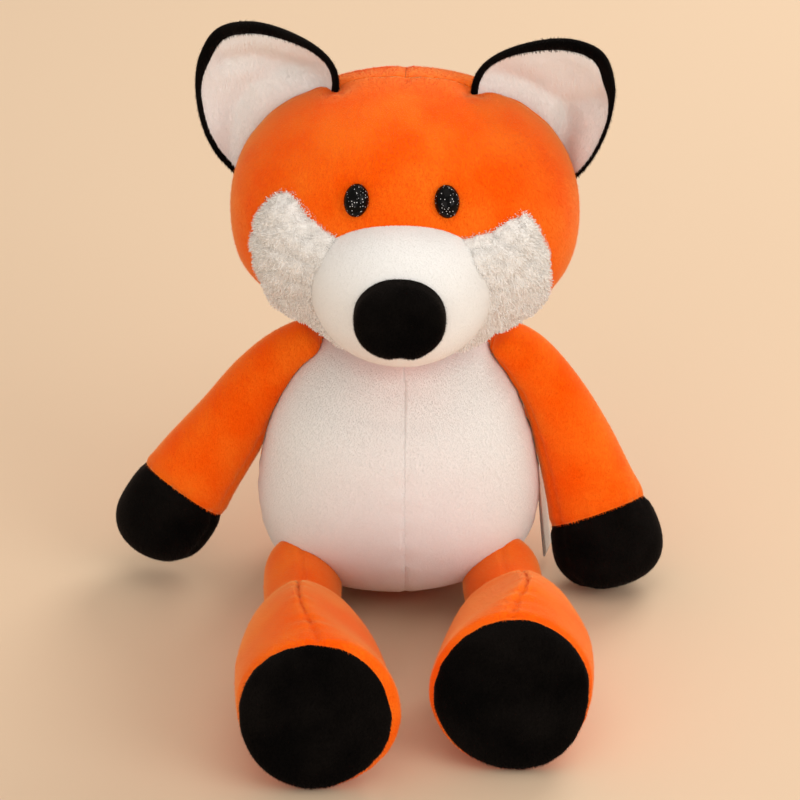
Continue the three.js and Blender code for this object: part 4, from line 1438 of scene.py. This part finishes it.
def peak_instep(mesh, leg):
    """Draws the foot's upper half in towards its middle seam, so that it rises to a peak."""
    points = points_of(mesh)
    up = np.clip((points[:, 2] - INSTEP_LOW) / INSTEP_RISE, 0, 1)
    behind = points[:, 1] - leg["sole_y"]
    weight = ease(behind, *INSTEP_SPAN) * np.clip((INSTEP_END - behind) / INSTEP_FADE, 0, 1)
    middle = foot_x(leg, behind) + leg["peak"] * up * weight
    across = points[:, 0] - foot_x(leg, behind)
    points[:, 0] = middle + across * (1 - INSTEP_PINCH * up**INSTEP_SHARP * weight)
    ridge = RIDGE_HEIGHT * bump(points[:, 0] - middle, RIDGE_WIDTH)
    points[:, 2] += ridge * up * weight - leg["drop"] * up * ease(behind, *DROP_SPAN)
    points[:, 1] += leg["lean"] * points[:, 2] / SOLE_HEIGHT * (1 - ease(behind, *LEAN_SPAN))
    set_points(mesh, points)


def behind_sole(distance, leg):
    """A seam of the foot's upper, which ends at the sole's edge."""
    edge_y = leg["sole_y"] + SOLE_DEPTH + SEAM_END

    def limited(points):
        upright_y = points[:, 1] - leg["lean"] * points[:, 2] / SOLE_HEIGHT
        return np.where(upright_y > edge_y, distance(points), FAR)

    return limited


feet, legs = {}, {}
for side, leg in LEGS.items():
    legs[side] = form_mesh("leg_" + side, leg_form(leg), LEG_SIDES, LEG_RINGS)
    to_ankle = to_plane((0, leg["sole_y"] + ANKLE_SEAM, 0), BEHIND)
    press(
        legs[side],
        softness(depth=0.8, size=36, seed=16 + SIDES_X[side]),
        valley(to_line_of(LEG_SIDES, TOP_SHARE, LEG_GIRTH), depth=0.9, width=1.6),
        valley(to_ankle, depth=1.6, width=3.5),
        gathers(to_ankle, ACROSS, depth=0.7, reach=11, spacing=12, seed=22 + SIDES_X[side]),
    )
    above_floor(legs[side])
    foot = form_mesh("foot_" + side, foot_form(leg), FOOT_SIDES, FOOT_RINGS)
    peak_instep(foot, leg)
    edge = (leg["sole_x"], leg["sole_y"] + SOLE_DEPTH, 0)
    forwards = -Vector((0, 1, -leg["lean"] / SOLE_HEIGHT)).normalized()
    to_sole_seam = to_plane(edge, forwards)
    to_instep_seam = behind_sole(to_line_of(FOOT_SIDES, TOP_SHARE, FOOT_GIRTH), leg)
    press(
        foot,
        valley(to_sole_seam, depth=1.4, width=2.2),
        gathers(to_sole_seam, (1, 0, 1), depth=0.15, reach=6, spacing=13, seed=17),
        valley(to_instep_seam, depth=1.5, width=1.7),
        gathers(to_instep_seam, BEHIND, depth=0.45, reach=9, spacing=8, seed=18),
        softness(depth=0.7, size=55, seed=19 + SIDES_X[side]),
    )
    above_floor(foot)
    upper, sole = halved(foot, edge, forwards, ("foot_" + side, "sole_" + side))
    feet[side] = {"form": foot, "upper": upper, "sole": sole, "tree": surface_tree(foot)}
    print(side, "foot and sole have", len(upper.polygons), "and", len(sole.polygons), "faces")
leg_trees = [surface_tree(mesh) for mesh in legs.values()]

# %% [markdown]
# ## Tail
#
# The photograph doesn't show the tail. Such a fox has a short bushy one that lies behind it, orange
# with a white tip.

# %% Tail form
TAIL = {
    "stations": [
        ((0, 46, 25), (10, 10)), ((0, 66, 25), (12, 12)), ((0, 88, 23.5), (19, 19)),
        ((0, 112, 23), (24, 23.5)), ((0, 134, 25), (19, 18)), ((0, 150, 29), (12, 11)),
    ],
    "caps": (10, 14), "fullness": (2, 2),
}
TIP_SEAM = (0, 122, 0)
tail_form = form_mesh("tail_form", TAIL, sides=64, rings=(8, 40, 14))
to_tip_seam = to_plane(TIP_SEAM, BEHIND)
press(
    tail_form,
    valley(to_tip_seam, depth=1.4, width=2.6),
    gathers(to_tip_seam, ACROSS, depth=0.4, reach=6, spacing=8, seed=20),
    softness(depth=0.6, size=40, seed=21),
)
above_floor(tail_form)
tail, tail_tip = halved(tail_form, TIP_SEAM, BEHIND, ("tail", "tail_tip"))
print("the tail and its tip have", len(tail.polygons), "and", len(tail_tip.polygons), "faces")

# %% [markdown]
# ## Dress the toy
#
# Every panel now becomes a piece with a wall, and all but the seat panel get their pile. An ear's
# layers are closed already. A limb's cloth is sewn to the torso and bends there, so it follows the
# torso at its root and the limb further out.

# %% Torso cloth and pile
on_torso = riding("torso")
for name, panels, tone in (("belly_", belly, "white"), ("back_", rear, "orange")):
    for side, mesh in panels.items():
        dress(name + side, mesh, tone, on_torso)
dress("seat_panel", seat, "orange", on_torso)
grow("belly_pile", belly.values(), "white", on_torso, length=1.2, per_mm2=2.8, under=leg_trees,
     width=0.38, lean=2.8, unruly=0.25, seed=31)
grow("back_pile", rear.values(), "orange", on_torso, length=1.5, per_mm2=1.8, seed=32)

# %% Head cloth and pile
on_head = riding("head")
dress("face_panel", face_panel, "orange", on_head)
for side, mesh in head_backs.items():
    dress("head_back_" + side, mesh, "orange", on_head)
dress("muzzle", muzzle_panel, "white", on_head)
dress("nose", nose, "black", on_head)
grow("face_pile", [face_panel], "orange", on_head, length=1.5, per_mm2=2.2,
     under=[muzzle_tree, *cheek_trees], seed=33)
grow("head_back_pile", head_backs.values(), "orange", on_head, length=1.5, per_mm2=1.8, seed=34)
grow("muzzle_pile", [muzzle_panel], "white", on_head, length=1.0, per_mm2=2.6,
     under=[head_tree, nose_tree, *cheek_trees], width=0.36, lean=2.6, unruly=0.35, seed=35)
grow("nose_pile", [nose], "black", on_head, length=1.2, per_mm2=2.5, under=[muzzle_tree],
     lean=1.2, seed=36)

# %% Cheek cloth and wool
for side, (_, panel) in cheeks.items():
    dress("cheek_" + side, panel, "cream", on_head)
    grow("cheek_wool_" + side, [panel], "cream", on_head, length=WOOL_MM, per_mm2=3.0,
         under=[muzzle_tree], margin=2.5, width=0.44, lean=1.1, unruly=1.0, blade=WOOL, sink=0.4,
         seed=37)

# %% Ears
EAR_BEND_MM = 10  # over this distance from the head the ear's root gives way
EAR_LAYERS = {"back": ("black", 1.9), "lining": ("white", 2.2)}  # cloth, and its pile's length
for side, layers in ears.items():
    inner, outer = (HEAD_TURN @ mirrored(end, side) for end in (EAR_INNER, EAR_OUTER))
    root = (inner + outer) / 2
    outwards = (outer - inner).cross(Vector((0, 1, 0))).normalized() * SIDES_X[side]
    if outwards.z < 0:
        outwards.negate()
    flex = bending("head", "ear_" + side, root, root + outwards * EAR_BEND_MM)
    for layer, (tone, length) in EAR_LAYERS.items():
        whole, shown = layers[layer]
        node = f"ear_{side}_{layer}"
        sheet = add_piece(node + "_cloth", whole.copy(), CLOTH[tone])
        stand_in(sheet, node, flex)
        grow(node + "_pile", [shown], tone, flex, length=length, per_mm2=2.2, under=[head_tree],
             seed=38)

# %% Arms
ARM_BEND_START, ARM_BEND_END = (50, -2, 132), (64, -2, 112)
for side, arm in arms.items():
    swing = bending("torso", "arm_" + side,
                    mirrored(ARM_BEND_START, side), mirrored(ARM_BEND_END, side))
    stuff("arm_filling_" + side, arm["form"], swing)
    dress("arm_" + side, arm["sleeve"], "orange", swing)
    dress("paw_" + side, arm["paw"], "black", swing)
    grow(f"arm_{side}_pile", [arm["sleeve"]], "orange", swing, length=1.4, per_mm2=2.0,
         under=[torso_tree], margin=0, seed=40)
    grow(f"paw_{side}_pile", [arm["paw"]], "black", swing, length=1.4, per_mm2=2.0, seed=41)

# %% Legs and feet
HIP_BEND_Y = (HIP_Y - 4, HIP_Y - 34)
for side, leg in LEGS.items():
    hip = bending("torso", "leg_" + side, *((leg["hip_x"], y, LEG_Z) for y in HIP_BEND_Y))
    on_foot = riding("foot_" + side)
    foot = feet[side]
    stuff("leg_filling_" + side, legs[side], hip)
    dress("leg_" + side, legs[side], "orange", hip)
    grow(f"leg_{side}_pile", [legs[side]], "orange", hip, length=1.4, per_mm2=1.8,
         under=[torso_tree, foot["tree"]], seed=42)
    stuff("foot_filling_" + side, foot["form"], on_foot)
    dress("foot_" + side, foot["upper"], "orange", on_foot)
    dress("sole_" + side, foot["sole"], "black", on_foot)
    grow(f"foot_{side}_pile", [foot["upper"]], "orange", on_foot, length=1.5, per_mm2=2.0,
         under=leg_trees, seed=43)
    grow(f"sole_{side}_pile", [foot["sole"]], "black", on_foot, length=1.4, per_mm2=2.0, lean=1.2,
         seed=44)

# %% Tail
tail_bend = bending("torso", "tail", (0, 50, 25), (0, 66, 25))
stuff("tail_filling", tail_form, tail_bend)
dress("tail", tail, "orange", tail_bend)
dress("tail_tip", tail_tip, "white", tail_bend)
grow("tail_pile", [tail], "orange", tail_bend, length=2.6, per_mm2=1.6, under=[torso_tree],
     nap=(0, 1, 0), seed=45)
grow("tail_tip_pile", [tail_tip], "white", tail_bend, length=2.6, per_mm2=1.6, nap=(0, 1, 0),
     seed=46)

# %% [markdown]
# ## Neck
#
# The head is sewn to the torso by a narrow ring of cloth. It is hidden from the front, and from the
# side it closes the gap under the head. The whole ring turns with the head, and its upper edge nods
# with it too.

# %% Neck cloth
NECK_RING = [(21, 140), (22.5, 144), (23.5, 148), (25.5, 152), (28.5, 156)]  # radius and height
NECK_SIDES = 96


def neck_mesh(name, plane):
    points = []
    for radius, z in NECK_RING:
        for j in range(NECK_SIDES):
            turn = 2 * math.pi * j / NECK_SIDES
            points.append((NECK[0] + radius * math.cos(turn), NECK[1] + radius * math.sin(turn), z))
    faces = sheet_faces(len(NECK_RING) - 1, NECK_SIDES, closed=True)
    return cut_panel(name, new_mesh(name, points, *faces), [plane])


neck_bend = bending("neck", "head", (0, -2, 144), (0, -2, 153))
for way, plane, tone in (("front", FRONT, "white"), ("back", BACK, "orange")):
    name = f"neck_{way}_cloth"
    ring = walled(name, neck_mesh(name, plane), CLOTH[tone])
    stand_in(ring, "neck_filling", neck_bend)
print("the neck's ring has", NECK_SIDES, "sides")

# %% [markdown]
# ## Eyes
#
# The eyes are oval domes of black plastic with glitter in them, held by a washer on the shank
# behind the cloth.

# %% Eyes
EYE_HALF = (6, 8, 5.5)
SHANK_RADIUS, SHANK_DEPTH = 2.2, 11
SHANK = {
    "stations": [((0, 0, z), (SHANK_RADIUS, SHANK_RADIUS)) for z in (-SHANK_DEPTH, -5, 0)],
    "caps": (0.6, 0.6), "fullness": (3, 3),
}


def stand_on(place, normal):
    """A matrix that stands +Z on a surface, with +Y up along the toy."""
    sideways = Vector((0, 0, 1)).cross(normal).normalized()
    upwards = normal.cross(sideways)
    return Matrix.Translation(place) @ Matrix((sideways, upwards, normal)).transposed().to_4x4()


for side, x in SIDES_X.items():
    dome = form_mesh("dome", egg_form((0, 0, 0), EYE_HALF, fullness=2), sides=48, rings=(16, 0, 16))
    shank = form_mesh("shank", SHANK, sides=16, rings=(3, 3, 3))
    eye_mesh = reshaped("eye_" + side, [dome, shank])
    stand = HEAD_TURN @ stand_on(*head_front(EYE_X * x, EYE_Z))
    set_points(eye_mesh, [stand @ Vector(p) for p in points_of(eye_mesh)])
    eye_mesh.shade_smooth()
    eye = add_piece(f"eye_{side}_dome", eye_mesh, EYE)
    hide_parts("eye_" + side)
    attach(eye, "head")
print("eyes stand at", [round(v, 1) for v in HEAD_TURN @ head_front(EYE_X, EYE_Z)[0]])

# %% [markdown]
# ## Care label
#
# A blank satin ribbon, folded in two, hangs from the left side seam behind the arm.

# %% Care label
LABEL_WIDTH, LABEL_LENGTH = 14, 50
LABEL_TOP = (66.8, SIDE_SEAM_Y + 0.5, 58)
LABEL_BOTTOM_X = 70.5
LABEL_TURN = math.radians(14)  # how far its face is turned to the front
LABEL_FOLD_MM = 0.9  # how far the two plies stand apart at the fold
LABEL_PLY_MM = 0.2
LABEL_HANG = 1.3  # above 1 the ribbon hangs straight at first and swings out lower down
LABEL_CLOSING, LABEL_GAP = 0.5, 0.1  # how the plies close above the fold, and the gap at the top
LABEL_STEPS, LABEL_FOLD_STEPS, LABEL_COLUMNS = 24, 6, 4


def ribbon_path():
    """One strip that hangs down, turns round at the bottom and comes up again behind itself."""
    steps = range(LABEL_STEPS + 1)
    down = []
    for t in (i / LABEL_STEPS for i in steps):
        x = LABEL_TOP[0] + (LABEL_BOTTOM_X - LABEL_TOP[0]) * t**LABEL_HANG
        down.append((x, LABEL_TOP[2] - LABEL_LENGTH * t))
    x, z = down[-1]
    half = LABEL_FOLD_MM / 2
    turns = [math.pi * i / LABEL_FOLD_STEPS for i in range(1, LABEL_FOLD_STEPS)]
    fold = [(x + half * (1 - math.cos(turn)), z - half * math.sin(turn)) for turn in turns]
    up = [
        (x + LABEL_FOLD_MM * (1 - i / LABEL_STEPS) ** LABEL_CLOSING + LABEL_GAP, z)
        for i, (x, z) in zip(steps, reversed(down))
    ]
    return [*down, *fold, *up]


def ribbon_mesh(path):
    points = []
    for x, z in path:
        for k in range(LABEL_COLUMNS + 1):
            out = LABEL_WIDTH * k / LABEL_COLUMNS
            place = (x + out * math.sin(LABEL_TURN), LABEL_TOP[1] + out * math.cos(LABEL_TURN), z)
            points.append(place)
    return new_mesh("care_label_ribbon", points, *sheet_faces(len(path) - 1, LABEL_COLUMNS))


path = ribbon_path()
label = walled("care_label_ribbon", ribbon_mesh(path), RIBBON, LABEL_PLY_MM, offset=0)
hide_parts("care_label")
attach(label, "torso")

# %% [markdown]
# ## Pieces kept from the CAD model
#
# The torso's and the head's filling and the eye washers are inside the cloth. They keep their CAD
# shapes and get the finish of loose fibre and of moulded plastic.

# %% Inner pieces
for node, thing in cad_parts.items():
    finish = FIBRE if "filling" in node else WASHER if "washer" in node else None
    if finish and not thing.hide_render:
        thing.data.materials.clear()
        thing.data.materials.append(finish)
        print(node, "keeps its CAD shape")
for thing in (BLADE, WOOL):
    bpy.data.objects.remove(thing)
